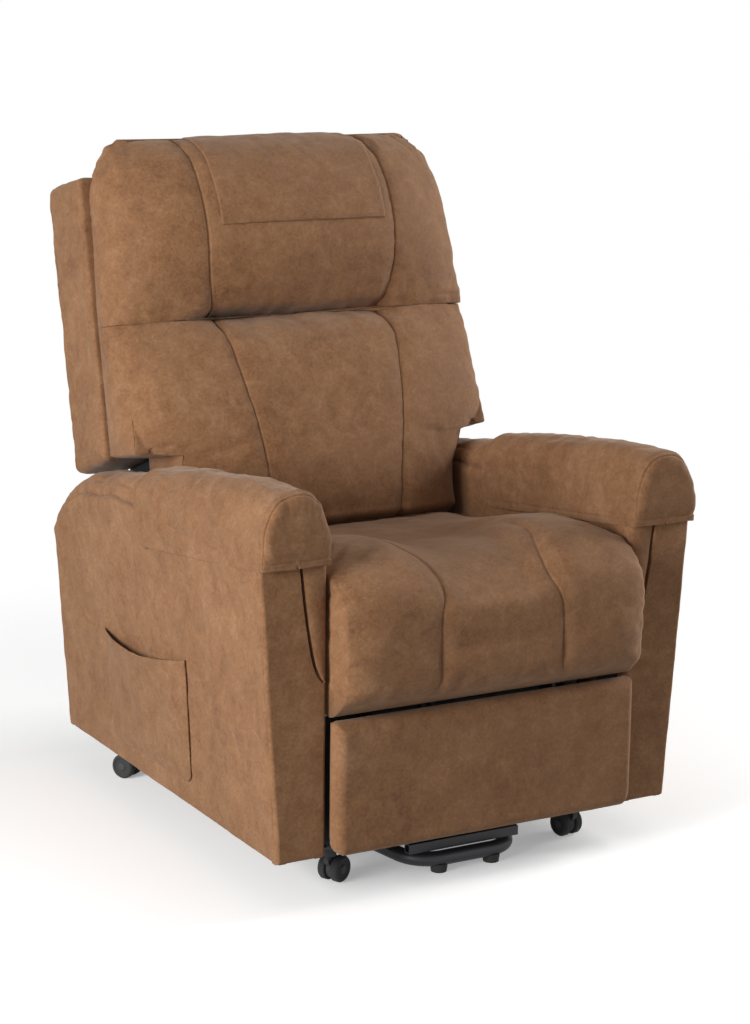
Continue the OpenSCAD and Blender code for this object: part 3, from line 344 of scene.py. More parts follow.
def inflate(grid, pinned, growth=0.012, limit=0.0035, steps=16):
    """Sews the rings into a closed skin, blows it up with Blender's cloth while the pinned points stay,
    and returns the grid; no point moves further than about the limit."""
    rows, cols = grid.shape[:2]
    obj = tube_skin("cloth_form", grid)
    mesh = obj.data
    order = np.empty(len(mesh.vertices) * 3)
    mesh.vertices.foreach_get("co", order)
    start = order.reshape(-1, 3).copy()
    group = obj.vertex_groups.new(name="sewn")
    for index in np.flatnonzero(np.append(pinned.ravel(), [1, 1])[: len(start)] > 0.5):
        group.add([int(index)], 1.0, "REPLACE")
    cloth = obj.modifiers.new("Cloth", "CLOTH")
    settings = cloth.settings
    settings.quality = 6
    settings.mass = 0.2
    settings.tension_stiffness = 12
    settings.compression_stiffness = 12
    settings.shear_stiffness = 4
    settings.bending_stiffness = 0.6
    settings.use_pressure = True
    settings.uniform_pressure_force = scene_settings().pressure
    settings.shrink_min = -growth
    settings.vertex_group_mass = "sewn"
    settings.effector_weights.gravity = 0
    cloth.collision_settings.use_collision = False
    cloth.point_cache.frame_start = 1
    cloth.point_cache.frame_end = steps
    for number in range(1, steps + 1):
        bpy.context.scene.frame_set(number)
    shown = obj.evaluated_get(bpy.context.evaluated_depsgraph_get())
    shown.data.vertices.foreach_get("co", order)
    end = order.reshape(-1, 3).copy()
    bpy.data.objects.remove(obj)
    bpy.data.meshes.remove(mesh)
    bpy.context.scene.frame_set(1)
    move = (end - start)[: rows * cols].reshape(rows, cols, 3)
    far = np.maximum(np.linalg.norm(move, axis=-1, keepdims=True), 1e-9)
    return grid + move / far * limit * np.tanh(far / limit)


def stitches(name, rows, body, long=0.0034, gap=0.0016, thick=0.0009):
    """Thread along lines of (points, normals): each stitch is a small six-sided spindle, sunk at both ends."""
    around = np.arange(6) * math.pi / 3
    along = np.array([-0.5, -0.36, 0.0, 0.36, 0.5])
    girth = np.array([0.35, 0.85, 1.0, 0.85, 0.35]) * thick / 2
    sink = np.array([-0.8, -0.15, 0.25, -0.15, -0.8]) * thick
    points, faces, made = [], [], 0
    for line, normal in rows:
        reach = np.concatenate([[0], np.cumsum(np.linalg.norm(np.diff(line, axis=0), axis=1))])
        count = int(reach[-1] / (long + gap))
        if count < 1:
            continue
        middle = (np.arange(count) + 0.5) * reach[-1] / count

        def read(values, where):
            return np.stack([np.interp(where, reach, values[:, k]) for k in range(3)], -1)

        way = read(line, middle + 0.001) - read(line, middle - 0.001)
        way /= np.maximum(np.linalg.norm(way, axis=1, keepdims=True), 1e-9)
        up = read(normal, middle)
        side = np.cross(way, up)
        side /= np.maximum(np.linalg.norm(side, axis=1, keepdims=True), 1e-9)
        up = np.cross(side, way)
        spine = read(line, middle)[:, None] + way[:, None] * (along * long)[None, :, None]
        spine = spine + up[:, None] * sink[None, :, None]
        wide = side[:, None, None] * np.cos(around)[None, None, :, None]
        high = up[:, None, None] * np.sin(around)[None, None, :, None]
        ring = spine[:, :, None] + (wide + high) * girth[None, :, None, None]
        points.append(ring.reshape(-1, 3))
        quads = grid_faces(5, 6, True)
        first = np.array([[0, 1, 2, 3], [0, 3, 4, 5]])
        one = np.concatenate([quads, first, first[:, ::-1] + 24])
        faces.append((one[None] + (made + np.arange(count) * 30)[:, None, None]).reshape(-1, 4))
        made += 30 * count
    mesh = bpy.data.meshes.new(name)
    mesh.from_pydata(np.concatenate(points).tolist(), [], np.concatenate(faces).tolist())
    mesh.shade_smooth()
    dress(linked(name, mesh), body, material("thread"))


def seam_line(grid, normal, rows, cols):
    """Points and normals along a line of a grid, given as fractional rows and columns."""
    return sample(grid, rows, cols), sample(normal, rows, cols)


# ---------------- settings


class ReclinerSettings(bpy.types.PropertyGroup):
    """Sizes and colours of the upholstery."""

    pressure: bpy.props.FloatProperty(
        name="Filling pressure", description="How hard the cushions are stuffed", default=4.0, min=0.5, max=9.0
    )
    seam_depth: bpy.props.FloatProperty(
        name="Seam depth", description="How deep a sewn seam lies", default=0.0022, min=0.001, max=0.008,
        unit="LENGTH",
    )
    fabric: bpy.props.FloatVectorProperty(
        name="Fabric", description="Main colour of the fabric", default=(0.235, 0.113, 0.05),
        subtype="COLOR", size=3,
    )
    fabric_light: bpy.props.FloatVectorProperty(
        name="Brushed nap", description="Colour where the nap is brushed up", default=(0.31, 0.168, 0.088),
        subtype="COLOR", size=3,
    )
    fabric_dark: bpy.props.FloatVectorProperty(
        name="Worn nap", description="Colour where the nap is pressed down", default=(0.155, 0.066, 0.027),
        subtype="COLOR", size=3,
    )
    nap_relief: bpy.props.FloatProperty(
        name="Nap relief", description="Height of the fabric's grain", default=0.0006, min=0.0, max=0.003,
        unit="LENGTH",
    )


def scene_settings():
    """The settings kept on the scene."""
    return bpy.context.scene.recliner


# ---------------- materials


def feed(tree, node, inputs):
    """Fills a node's inputs: each is a value or another node's output, and a colour needs no alpha."""
    for key, value in inputs.items():
        socket = node.inputs[key]
        if isinstance(value, bpy.types.NodeSocket):
            tree.links.new(value, socket)
        else:
            socket.default_value = (*value[:3], 1.0) if socket.type == "RGBA" else value


def add(tree, kind, inputs=None, **values):
    """A shader node with its settings and inputs."""
    made = tree.nodes.new(kind)
    for key, value in values.items():
        setattr(made, key, value)
    feed(tree, made, inputs or {})
    return made


def mixed(tree, factor, first, second):
    """Colour between first and second by the factor: of a Mix node's sockets, only those for colours are on."""
    mix = add(tree, "ShaderNodeMix", data_type="RGBA")
    on = [index for index, socket in enumerate(mix.inputs) if socket.enabled]
    feed(tree, mix, dict(zip(on, (factor, first, second))))
    return next(socket for socket in mix.outputs if socket.enabled)


def ranged(tree, value, low, high, to_low=0.0, to_high=1.0):
    """Value mapped from one range to another, eased."""
    made = add(
        tree, "ShaderNodeMapRange",
        {"Value": value, "From Min": low, "From Max": high, "To Min": to_low, "To Max": to_high},
        interpolation_type="SMOOTHSTEP",
    )
    return made.outputs["Result"]


def worked(tree, operation, *values):
    """Result of a Math node."""
    return add(tree, "ShaderNodeMath", dict(enumerate(values)), operation=operation).outputs[0]


def weighted(tree, *terms, start=0.0):
    """Sum of the values, each times its weight."""
    total = start
    for value, weight in terms:
        total = worked(tree, "MULTIPLY_ADD", value, weight, total)
    return total


def group(name, inputs, outputs, build):
    """Node group with named sockets; build gets its tree, the inputs and the group output node."""
    tree = bpy.data.node_groups.get(name)
    if tree:
        return tree
    tree = bpy.data.node_groups.new(name, "ShaderNodeTree")
    for key, kind, default in inputs:
        socket = tree.interface.new_socket(key, in_out="INPUT", socket_type=kind)
        socket.default_value = default
    for key, kind in outputs:
        tree.interface.new_socket(key, in_out="OUTPUT", socket_type=kind)
    source = tree.nodes.new("NodeGroupInput")
    result = tree.nodes.new("NodeGroupOutput")
    build(tree, {s.name: s for s in source.outputs}, result)
    return tree


def noise(tree, vector, scale, detail=4.0, rough=0.55, warp=0.0):
    """Noise texture's value."""
    made = add(
        tree, "ShaderNodeTexNoise",
        {"Vector": vector, "Scale": scale, "Detail": detail, "Roughness": rough, "Distortion": warp},
    )
    return made.outputs["Fac"]


def nap_group():
    """Brushed fabric: cloudy light and dark nap, small flecks, faint creases and a fine grain."""

    def build(tree, given, result):
        place = given["Vector"]
        clouds = noise(tree, place, 7.5, 6.0, 0.62, 0.3)
        patches = noise(tree, place, 34.0, 8.0, 0.72, 0.5)
        flecks = noise(tree, place, 190.0, 5.0, 0.7)
        cells = add(
            tree, "ShaderNodeTexVoronoi", {"Vector": place, "Scale": 60.0, "Randomness": 1.0},
            feature="DISTANCE_TO_EDGE",
        )
        crease = ranged(tree, cells.outputs["Distance"], 0.0, 0.06, 1.0, 0.0)
        crease = worked(tree, "MULTIPLY", crease, ranged(tree, patches, 0.5, 0.68))
        grain = noise(tree, place, 900.0, 3.0, 0.6)
        weave = noise(tree, place, 2600.0, 2.0, 0.5)
        light = weighted(tree, (clouds, 0.42), (patches, 0.58), (flecks, 0.55), (grain, 0.3), start=-0.425)
        shade = mixed(tree, ranged(tree, light, 0.3, 0.53), given["Dark"], given["Middle"])
        shade = mixed(tree, ranged(tree, light, 0.48, 0.72), shade, given["Light"])
        shade = mixed(tree, worked(tree, "MULTIPLY", crease, 0.4), shade, given["Light"])
        rough = ranged(tree, light, 0.35, 0.65, 0.72, 0.9)
        height = weighted(tree, (grain, 0.5), (weave, 0.28), (flecks, 0.5), (crease, -0.3))
        feed(tree, result, {"Color": shade, "Roughness": rough, "Height": height})

    return group(
        "Brushed nap",
        [("Vector", "NodeSocketVector", (0, 0, 0)), ("Light", "NodeSocketColor", (1, 1, 1, 1)),
         ("Middle", "NodeSocketColor", (0.5, 0.5, 0.5, 1)), ("Dark", "NodeSocketColor", (0, 0, 0, 1))],
        [("Color", "NodeSocketColor"), ("Roughness", "NodeSocketFloat"), ("Height", "NodeSocketFloat")],
        build,
    )


def surface_group():
    """Hard surfaces: fine grain, slow stains and small scratches as two masks and a height."""

    def build(tree, given, result):
        place = given["Vector"]
        fine = noise(tree, place, given["Grain"], 4.0, 0.6)
        slow = noise(tree, place, 9.0, 4.0, 0.6, 0.5)
        lines = add(
            tree, "ShaderNodeTexVoronoi", {"Vector": place, "Scale": 60.0, "Randomness": 1.0},
            feature="DISTANCE_TO_EDGE",
        )
        scratch = worked(
            tree, "MULTIPLY", ranged(tree, lines.outputs["Distance"], 0.0, 0.02, 1.0, 0.0),
            ranged(tree, slow, 0.55, 0.7),
        )
        feed(tree, result, {"Stain": slow, "Scratch": scratch, "Height": fine})

    return group(
        "Hard surface",
        [("Vector", "NodeSocketVector", (0, 0, 0)), ("Grain", "NodeSocketFloat", 800.0)],
        [("Stain", "NodeSocketFloat"), ("Scratch", "NodeSocketFloat"), ("Height", "NodeSocketFloat")],
        build,
    )


def start_material(name):
    """New material with its tree, Principled node and Object coordinates."""
    made = bpy.data.materials.new(name)
    made.use_nodes = True
    tree = made.node_tree
    shader = tree.nodes["Principled BSDF"]
    place = add(tree, "ShaderNodeTexCoord").outputs["Object"]
    return made, tree, shader, place


def bumped(tree, height, strength, distance):
    """Normal of a surface with a relief."""
    made = add(tree, "ShaderNodeBump", {"Height": height, "Strength": strength, "Distance": distance})
    return made.outputs["Normal"]


def fabric_material(name, shift, tone):
    """Brushed fabric of one cut panel: the nap pattern moved by shift and its colours scaled by tone."""
    made, tree, shader, place = start_material(name)
    kept = scene_settings()

    def toned(colour):
        return [c * tone for c in colour]

    moved = add(tree, "ShaderNodeMapping", {"Vector": place, "Location": shift}).outputs["Vector"]
    nap = add(
        tree, "ShaderNodeGroup",
        {"Vector": moved, "Light": toned(kept.fabric_light), "Middle": toned(kept.fabric),
         "Dark": toned(kept.fabric_dark)},
        node_tree=nap_group(),
    )
    feed(tree, shader, {
        "Base Color": nap.outputs["Color"],
        "Roughness": nap.outputs["Roughness"],
        "Normal": bumped(tree, nap.outputs["Height"], 0.5, kept.nap_relief),
        "Specular IOR Level": 0.22,
        "Sheen Weight": 0.15,
        "Sheen Roughness": 0.5,
        "Sheen Tint": (1.0, 0.9, 0.78),
    })
    return made


def hard_material(name, colour, other, rough, metal, grain, relief, scratch, coat):
    """Painted, plated, moulded or sawn surface: stains between two colours, scratches and a grain."""
    made, tree, shader, place = start_material(name)
    surface = add(tree, "ShaderNodeGroup", {"Vector": place, "Grain": grain}, node_tree=surface_group())
    stain = ranged(tree, surface.outputs["Stain"], 0.35, 0.65)
    shade = mixed(tree, stain, colour, other)
    worn = worked(tree, "MULTIPLY", surface.outputs["Scratch"], scratch)
    shade = mixed(tree, worn, shade, tuple(min(1.0, c * 2.2 + 0.03) for c in colour))
    feed(tree, shader, {
        "Base Color": shade,
        "Roughness": ranged(tree, surface.outputs["Stain"], 0.3, 0.7, rough - 0.06, rough + 0.08),
        "Normal": bumped(tree, surface.outputs["Height"], 0.5, relief),
        "Metallic": metal,
        "Coat Weight": coat,
    })
    return made


def wood_material(name):
    """Plywood and softwood: long rings stretched along the depth, with fine pores."""
    made, tree, shader, place = start_material(name)
    stretched = add(tree, "ShaderNodeMapping", {"Vector": place, "Scale": (9.0, 0.8, 6.0)}).outputs["Vector"]
    wave = add(tree, "ShaderNodeTexWave", {"Vector": stretched, "Scale": 2.6, "Distortion": 5.0, "Detail": 4.0})
    pores = noise(tree, stretched, 60.0, 5.0, 0.7)
    both = weighted(tree, (wave.outputs["Fac"], 0.6), (pores, 0.4))
    shade = mixed(tree, ranged(tree, both, 0.2, 0.8), (0.36, 0.21, 0.10), (0.56, 0.38, 0.21))
    feed(tree, shader, {"Base Color": shade, "Normal": bumped(tree, pores, 0.4, 0.0004), "Roughness": 0.62})
    return made


# where each cut panel's nap starts, and how light its colours are
FABRICS = {
    "fabric_arm": ((0.0, 0.0, 0.0), 1.0),
    "fabric_cover": ((0.7, 0.2, 0.4), 0.94),
    "fabric_back": ((1.3, 0.9, 0.1), 0.98),
    "fabric_seat": ((2.1, 0.3, 1.2), 0.97),
    "fabric_pocket": ((0.4, 1.6, 0.8), 0.95),
}
# colour, stain's colour, roughness, metal, grain, relief, scratches, coat
SURFACES = {
    "thread": ((0.24, 0.13, 0.07), (0.2, 0.105, 0.055), 0.75, 0.0, 4000.0, 0.0002, 0.25, 0.0),
    "black_steel": ((0.007, 0.007, 0.008), (0.012, 0.012, 0.013), 0.38, 0.0, 1500.0, 0.0002, 0.3, 0.25),
    "zinc_steel": ((0.52, 0.53, 0.54), (0.42, 0.43, 0.45), 0.34, 1.0, 700.0, 0.0001, 0.2, 0.0),
    "black_plastic": ((0.008, 0.008, 0.009), (0.014, 0.014, 0.015), 0.5, 0.0, 2400.0, 0.0002, 0.2, 0.0),
    "black_rubber": ((0.008, 0.008, 0.009), (0.015, 0.015, 0.014), 0.72, 0.0, 1800.0, 0.0003, 0.3, 0.0),
    # lining: the frame's own black lining, and also the black sheets that paint the shade in the footwell gaps
    "lining": ((0.012, 0.012, 0.013), (0.02, 0.02, 0.021), 0.9, 0.0, 3000.0, 0.0004, 0.0, 0.0),
}


def material(name):
    """A material by name, made the first time it is asked for."""
    if name in bpy.data.materials:
        return bpy.data.materials[name]
    if name in FABRICS:
        return fabric_material(name, *FABRICS[name])
    return hard_material(name, *SURFACES[name]) if name in SURFACES else wood_material(name)


# ---------------- seat


def seat_grid():
    """Seat cushion before it is stuffed: a side profile carried across, hollowed between its plump sides."""
    front, rear = SEAT_LOW[1] - FRONT, SEAT_HIGH[1] - FRONT
    deck, lip, roll = 0.3191, SEAT_LOW[2], 0.445
    profile = curve_through(
        [(rear - 0.004, deck + 0.003), (0.3, deck + 0.001), (0.06, deck + 0.001), (0.036, lip + 0.006),
         (0.012, lip + 0.002), (-0.012, lip + 0.002), (-0.0385, lip + 0.0195), (-0.0556, lip + 0.0315),
         (-0.067, lip + 0.046), (front + 0.0025, 0.384), (front, 0.44), (front + 0.006, 0.486),
         (-0.0524, 0.5137), (-0.0237, 0.5347), (0.0151, 0.5476), (0.07, 0.552), (0.11, 0.55), (0.16, 0.543),
         (0.22, 0.5295), (0.28, 0.5138), (0.34, 0.4986), (0.4, 0.487), (0.45, 0.4815), (rear - 0.018, 0.479),
         (rear - 0.003, 0.464)],
        190, closed=True,
    )
    half = SEAT_HIGH[0] - 0.0005
    u = np.sin(np.linspace(-1, 1, 70) * math.pi / 2 * 0.97) / math.sin(math.pi / 2 * 0.97)
    x = (u * half)[:, None]
    depth, z = profile[None, :, 0], profile[None, :, 1]
    high = smooth((z - lip) / 0.06)
    forward = smooth((0.06 - depth) / 0.08)
    top = smooth((z - roll + 0.06) / 0.06)
    edge = 0.55 * np.abs(u[:, None]) ** 9 + 0.45 * np.abs(u[:, None]) ** 22
    groove = dip(np.abs(x) - seat_seam(depth, z), 0.011) * smooth((0.17 - depth) / 0.06)
    hollow = 0.027 * smooth((0.16 - np.abs(x)) / 0.11) * smooth((z - roll) / 0.08) * smooth((0.4 - depth) / 0.2)
    z = z - high * top * (1 - forward * 0.5) * (0.030 * edge + 0.0025 * groove) - hollow
    depth = depth + forward * high * (0.017 * edge + 0.0025 * groove)
    return at(x, depth, z), profile, u * half


def seat_seam(depth, z):
    """Half distance of the seat's two curved seams: bowed in over the front roll and spreading again below it."""
    bow = 0.112 + 0.018 * smooth((depth + 0.01) / 0.11)
    bow = bow - 0.014 * dip(z - 0.505, 0.03) * smooth((0.05 - depth) / 0.03)
    return bow + 0.014 * smooth((0.365 - z) / 0.05)


def make_seat():
    """Seat cushion, its seams and its thread."""
    body = "seat"
    grid, profile, across = seat_grid()
    deck = 0.325
    depth = grid[..., 1] - FRONT
    pinned = (grid[..., 2] < deck) | (np.abs(across)[:, None] > SEAT_HIGH[0] - 0.004) | (depth > 0.47)
    full = inflate(grid, pinned)
    rows = np.interp(
        spread(-SEAT_HIGH[0], SEAT_HIGH[0], 0.0052, (-0.119, 0.119), 0.022, 0.0016), across, np.arange(len(across))
    )
    cols = np.arange(0, grid.shape[1], 0.5)
    fine = sample(full, rows[:, None], cols[None], True)
    flat = sample(grid, rows[:, None], cols[None], True)
    out = outward(fine, True)
    x, depth, z = flat[..., 0], flat[..., 1] - FRONT, flat[..., 2]
    top = smooth((z - deck) / 0.03)
    away = np.abs(x) - seat_seam(depth, z)
    ends = smooth((0.16 - depth) / 0.04) * top
    gather = 1 + 0.5 * wander(flat * [0.2, 1, 1], 0.026, 3, 2)
    push = -scene_settings().seam_depth * dip(away, SEAM_WIDTH) * ends - 0.0008 * dip(away, 0.011) * ends * gather
    side = np.abs(x) / SEAT_HIGH[0]
    folds = wander(np.stack([x * 0.18, depth, z], -1), 0.017, 11, 2)
    push = push + 0.0013 * folds * smooth((side - 0.84) / 0.16) * top * smooth((0.16 - depth) / 0.16)
    push = push + 0.0010 * wander(flat, 0.08, 5, 3) * top
    fine = fine + out * push[..., None]
    fine[..., 0] = np.clip(fine[..., 0], -SEAT_HIGH[0], SEAT_HIGH[0])
    upholster(tube_skin("seat_cushion_cover", fine), body, "fabric_seat", "seat_cushion")
    start = int(np.argmin(np.hypot(profile[:, 0] + 0.07, profile[:, 1] - 0.345)))
    stop = int(np.argmin(np.abs(profile[:, 0] - 0.14) + (profile[:, 1] < 0.45)))
    run = np.arange(start, stop, 0.5) * 2
    lines = []
    for m in (-1, 1):
        for offset in (-THREAD_APART, THREAD_APART):
            d, z = profile[(run / 2).astype(int), 0], profile[(run / 2).astype(int), 1]
            where = np.interp(m * (seat_seam(d, z) + offset), flat[:, 0, 0], np.arange(len(rows)))
            lines.append(seam_line(fine, out, where, run))
    stitches("seat_cushion_thread", lines, body)


# ---------------- back


def back_seam(s):
    """Half distance of the back's curved seams: spreading up the head cushion, closing down the lumbar one."""
    upper = 0.172 + 0.010 * smooth((s - TUCK) / 0.1)
    return np.where(s > TUCK, upper, 0.164 - 0.036 * smooth((TUCK - s) / 0.34))


def back_width(s, kind):
    """Half width: narrow between the arms, wide above them, rounded towards the top corners."""
    if kind == "lower":
        return LUMBAR_HALF + (BACK_HALF - LUMBAR_HALF) * quarter_round((s - WING_FRONT) / 0.010)
    q = np.clip((s - BACK_TOP + BACK_CORNER) / BACK_CORNER, 0, 0.995)
    return BACK_HALF - 0.006 * smooth((s - TUCK) / 0.2) - 0.076 * (1 - np.sqrt(1 - q * q))


def crowned(u, power, root):
    """One less u to a power, raised to a root: full in the middle, nothing at u = 1."""
    return np.maximum(0, 1 - np.minimum(1, np.abs(u)) ** power) ** root


def back_front(x, s, half, kind):
    """Height of the face over the frame: from a flank of its own thickness to a crown, grooved at the seams."""
    groove = 0.0028 * dip(np.abs(x) - back_seam(s), 0.012)
    between = smooth((0.235 - np.abs(x)) / 0.09)
    if kind == "lower":
        v = np.clip((s - LOWER_START) / (TUCK - LOWER_START), 0, 1)
        crest = 0.130 + 0.080 * np.sin(math.pi * (1 - v) ** 0.8 * 0.62) - 0.022 * (1 - v)
        edge = 0.080 + 0.040 * smooth((TUCK - s) / 0.23) - 0.010 * smooth((WING_FRONT - s) / 0.1)
        span = LUMBAR_HALF + (BACK_HALF - LUMBAR_HALF) * smooth((s - 0.2) / 0.14)
        face = (edge + (crest - edge) * crowned(x / span, 3, 0.6)) * np.minimum(1, 8 * v + 0.4)
        tuck = 0.042 * dip(s - TUCK, 0.021) * between + 0.012 * smooth((v - 0.82) / 0.18) * (1 - between)
        return face - groove - tuck - 0.003 * dip(s - TUCK, 0.005)
    v = np.clip((s - TUCK) / (BACK_TOP - TUCK), 0, 1)
    q = np.maximum(0, v - 0.85) / 0.15
    crest = 0.060 + 0.098 * np.sin(math.pi * (0.13 + 0.8 * v)) - 0.058 * (1 - np.sqrt(np.maximum(0, 1 - q * q)))
    crest = crest + smooth((0.22 - v) / 0.22) * (0.019 - 0.007 * between)
    edge = 0.078 - 0.072 * v**1.1
    swell = crowned(x / half, 2.6, 0.62)
    tuck = 0.050 * dip(s - TUCK, 0.014) * between
    return edge + (crest - edge) * swell - groove * swell - tuck - 0.003 * dip(s - TUCK, 0.005)


def back_grid(kind, rows, angles):
    """Rings up the back: the face as x = half width times the sine of the angle (its middle columns kept
    straight), then bulging flanks and a flat rear."""
    s = rows[:, None]
    half = back_width(s, kind)
    base = (LUMBAR_HALF if kind == "lower" else BACK_HALF) * np.sin(angles)[None]
    outer = np.abs(base).max()
    x = np.sign(base) * np.where(
        np.abs(base) < 0.2, np.abs(base), 0.2 + (np.abs(base) - 0.2) * (half - 0.2) / (outer - 0.2)
    )
    t = np.maximum(CUSHION_BACK + 0.009, back_front(x, s, half, kind))
    w = np.linspace(0, 1, 9)[None, 1:]
    bulge = 0.006 * smooth((s - WING_FRONT - 0.004) / 0.03) if kind == "lower" else 0.006
    flank_x = half + bulge * np.sin(math.pi * w**0.8) - 0.004 * w
    flank_t = t[:, -1:] + (CUSHION_BACK - t[:, -1:]) * w
    rear_x = np.linspace(1, -1, 11)[None, 1:-1] * (half - 0.004)
    return np.concatenate(
        [on_back(x, t, s), on_back(flank_x, flank_t, s), on_back(rear_x, CUSHION_BACK, s),
         on_back(-flank_x[:, ::-1], flank_t[:, ::-1], s)],
        1,
    )


def make_back_cushion(kind, name, node, low, high):
    """One back cushion: stuffed, grooved along its seams and stitched."""
    body = "back"
    angles = np.linspace(-math.pi / 2, math.pi / 2, 84)
    marks = (WING_FRONT + 0.005,) if kind == "lower" else (high,)
    rows = spread(low, high, 0.008, marks, 0.009, 0.0015)
    grid = back_grid(kind, rows, angles)
    s = rows[:, None] + 0 * grid[..., 0]
    x = grid[..., 0]
    face = np.arange(grid.shape[1]) < len(angles)
    flank = (np.arange(grid.shape[1]) < len(angles) + 7) | (np.arange(grid.shape[1]) >= grid.shape[1] - 7)
    pinned = ((np.abs(s - TUCK) < 0.02) & face[None]) | ~flank[None] | (s == rows[0]) | (s == rows[-1])
    pinned = pinned | ((kind == "lower") & (s < WING_FRONT + 0.03) & ~face[None])
    full = inflate(grid, pinned)
    near = 0.585 if kind == "lower" else 0.535
    at_rows = np.interp(
        spread(low, high, 0.005, (TUCK - 0.006, TUCK + 0.006, *marks), 0.012, 0.0015), rows, np.arange(len(rows))
    )
    face_cols = np.interp(
        spread(-math.pi / 2, math.pi / 2, 0.016, (-near, near), 0.12, 0.0045), angles, np.arange(len(angles))
    )
    cols = np.concatenate([face_cols, np.arange(len(angles), grid.shape[1])])
    fine = sample(full, at_rows[:, None], cols[None], True)
    flat = sample(grid, at_rows[:, None], cols[None], True)
    out = outward(fine, True)
    s = np.interp(at_rows, np.arange(len(rows)), rows)[:, None]
    x = flat[..., 0]
    front = (cols < len(angles) - 1 + 1e-6)[None] * np.ones_like(x)
    soft = ((cols < len(angles) + 5) | (cols > grid.shape[1] - 6))[None] * np.ones_like(x)
    away = np.abs(x) - back_seam(s)
    half = back_width(s, kind)
    inside = smooth((half - np.abs(x)) / 0.02)
    place = on_back(x, 0 * x, s + 0 * x)
    push = -scene_settings().seam_depth * dip(away, SEAM_WIDTH) * inside * front
    push = push - 0.0011 * dip(away, 0.012) * (1 + 0.9 * wander(place * [0.2, 1, 1], 0.028, 7, 2)) * inside * front
    push = push + 0.0016 * dip(s - TUCK, 0.04) * wander(place * [1, 0.25, 0.25], 0.03, 9, 2) * inside * front
    rim = smooth((np.abs(x) / half - 0.8) / 0.2)
    push = push + 0.0007 * rim * wander(place * [0.25, 1, 1], 0.024, 13, 2) * soft * smooth((s - WING_FRONT) / 0.05)
    if kind == "upper":
        crest = smooth((s - 0.72) / 0.07) * rim
        push = push + 0.0024 * crest * wander(fine * [1, 0.4, 1], 0.026, 15, 2) * soft
    push = push + 0.0011 * wander(fine, 0.09, 17, 3) * np.maximum(inside * front, 0.4 * soft)
    fine = fine + out * push[..., None]
    upholster(tube_skin(name, fine), body, "fabric_back", node)
    lines = []
    run = np.arange(4, len(at_rows) - 5, 1.0)
    picked = run.astype(int)
    for m in (-1, 1):
        for offset in (-THREAD_APART, THREAD_APART):
            where = m * (back_seam(s[picked, 0]) + offset)
            count = len(face_cols)
            here = [np.interp(w, flat[r, :count, 0], np.arange(count)) for w, r in zip(where, picked)]
            lines.append(seam_line(fine, out, run, np.array(here)))
    stitches(name + "_thread", lines, body)
    return fine, out, s[:, 0], flat, len(face_cols)


def make_back():
    """Lumbar and head cushion, and the loose cover over the head cushion."""
    make_back_cushion("lower", "back_cushion_lumbar", "back_cushion_lower", LOWER_START, TUCK - 0.0005)
    fine, _, s, flat, count = make_back_cushion(
        "upper", "back_cushion_head", "back_cushion_upper", TUCK + 0.0005, BACK_TOP
    )
    half, start = 0.159, 0.65
    cols = np.arange(count)
    u = np.linspace(-1, 1, 90)
    picked = np.linspace(np.searchsorted(s, start), len(s) - 1.01, 70)
    grid = []
    for r in picked:
        where = np.interp(u * half, flat[int(r), cols, 0], cols.astype(float))
        grid.append(sample(fine, np.full_like(where, r), where))
    grid = np.array(grid)
    up = outward(grid)
    up = up * -np.sign(up[..., 1].mean())
    rim = np.minimum(1, (1 - np.abs(u[None])) * half / 0.006) * np.minimum(1, np.arange(70)[:, None] / 2)
    face = grid + up * (0.0034 + 0.001 * rim + 0.0006 * wander(grid, 0.05, 21, 2))[..., None]
    obj = dress(cloth_sheet("head_cover_cloth", face, 0.0026), "back", material("fabric_cover"))
    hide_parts("head_cover")
    lines = [seam_line(face, up, np.full(80, 2.2), np.linspace(1.7, 87.3, 80))]
    for col in (2.0, 87.0):
        lines.append(seam_line(face, up, np.linspace(2.2, 64, 70), np.full(70, col)))
    stitches("head_cover_thread", lines, "back")


def rounded_ring(x0, x1, t0, t1, radii, count=12):
    """Ring of a rectangle as (x, t) pairs, counter-clockwise, each corner rounded by its own radius."""
    ring = []
    for cx, ct, start, radius in ((x1, t1, 0, radii[0]), (x0, t1, 90, radii[1]), (x0, t0, 180, radii[2]),
                                  (x1, t0, 270, radii[3])):
        a = np.radians(start + np.linspace(0, 90, count))
        middle_x = cx + (radius if cx == x0 else -radius)
        middle_t = ct + (radius if ct == t0 else -radius)
        ring.append(np.stack([middle_x + radius * np.cos(a), middle_t + radius * np.sin(a)], -1))
    return np.concatenate(ring)


def densify(ring, step):
    """Closed ring with points added so that none are further than a step apart."""
    out = []
    for a, b in zip(ring, np.roll(ring, -1, 0)):
        count = max(1, int(np.linalg.norm(b - a) / step))
        out.append(a + (b - a) * (np.arange(count) / count)[:, None])
    return np.concatenate(out)


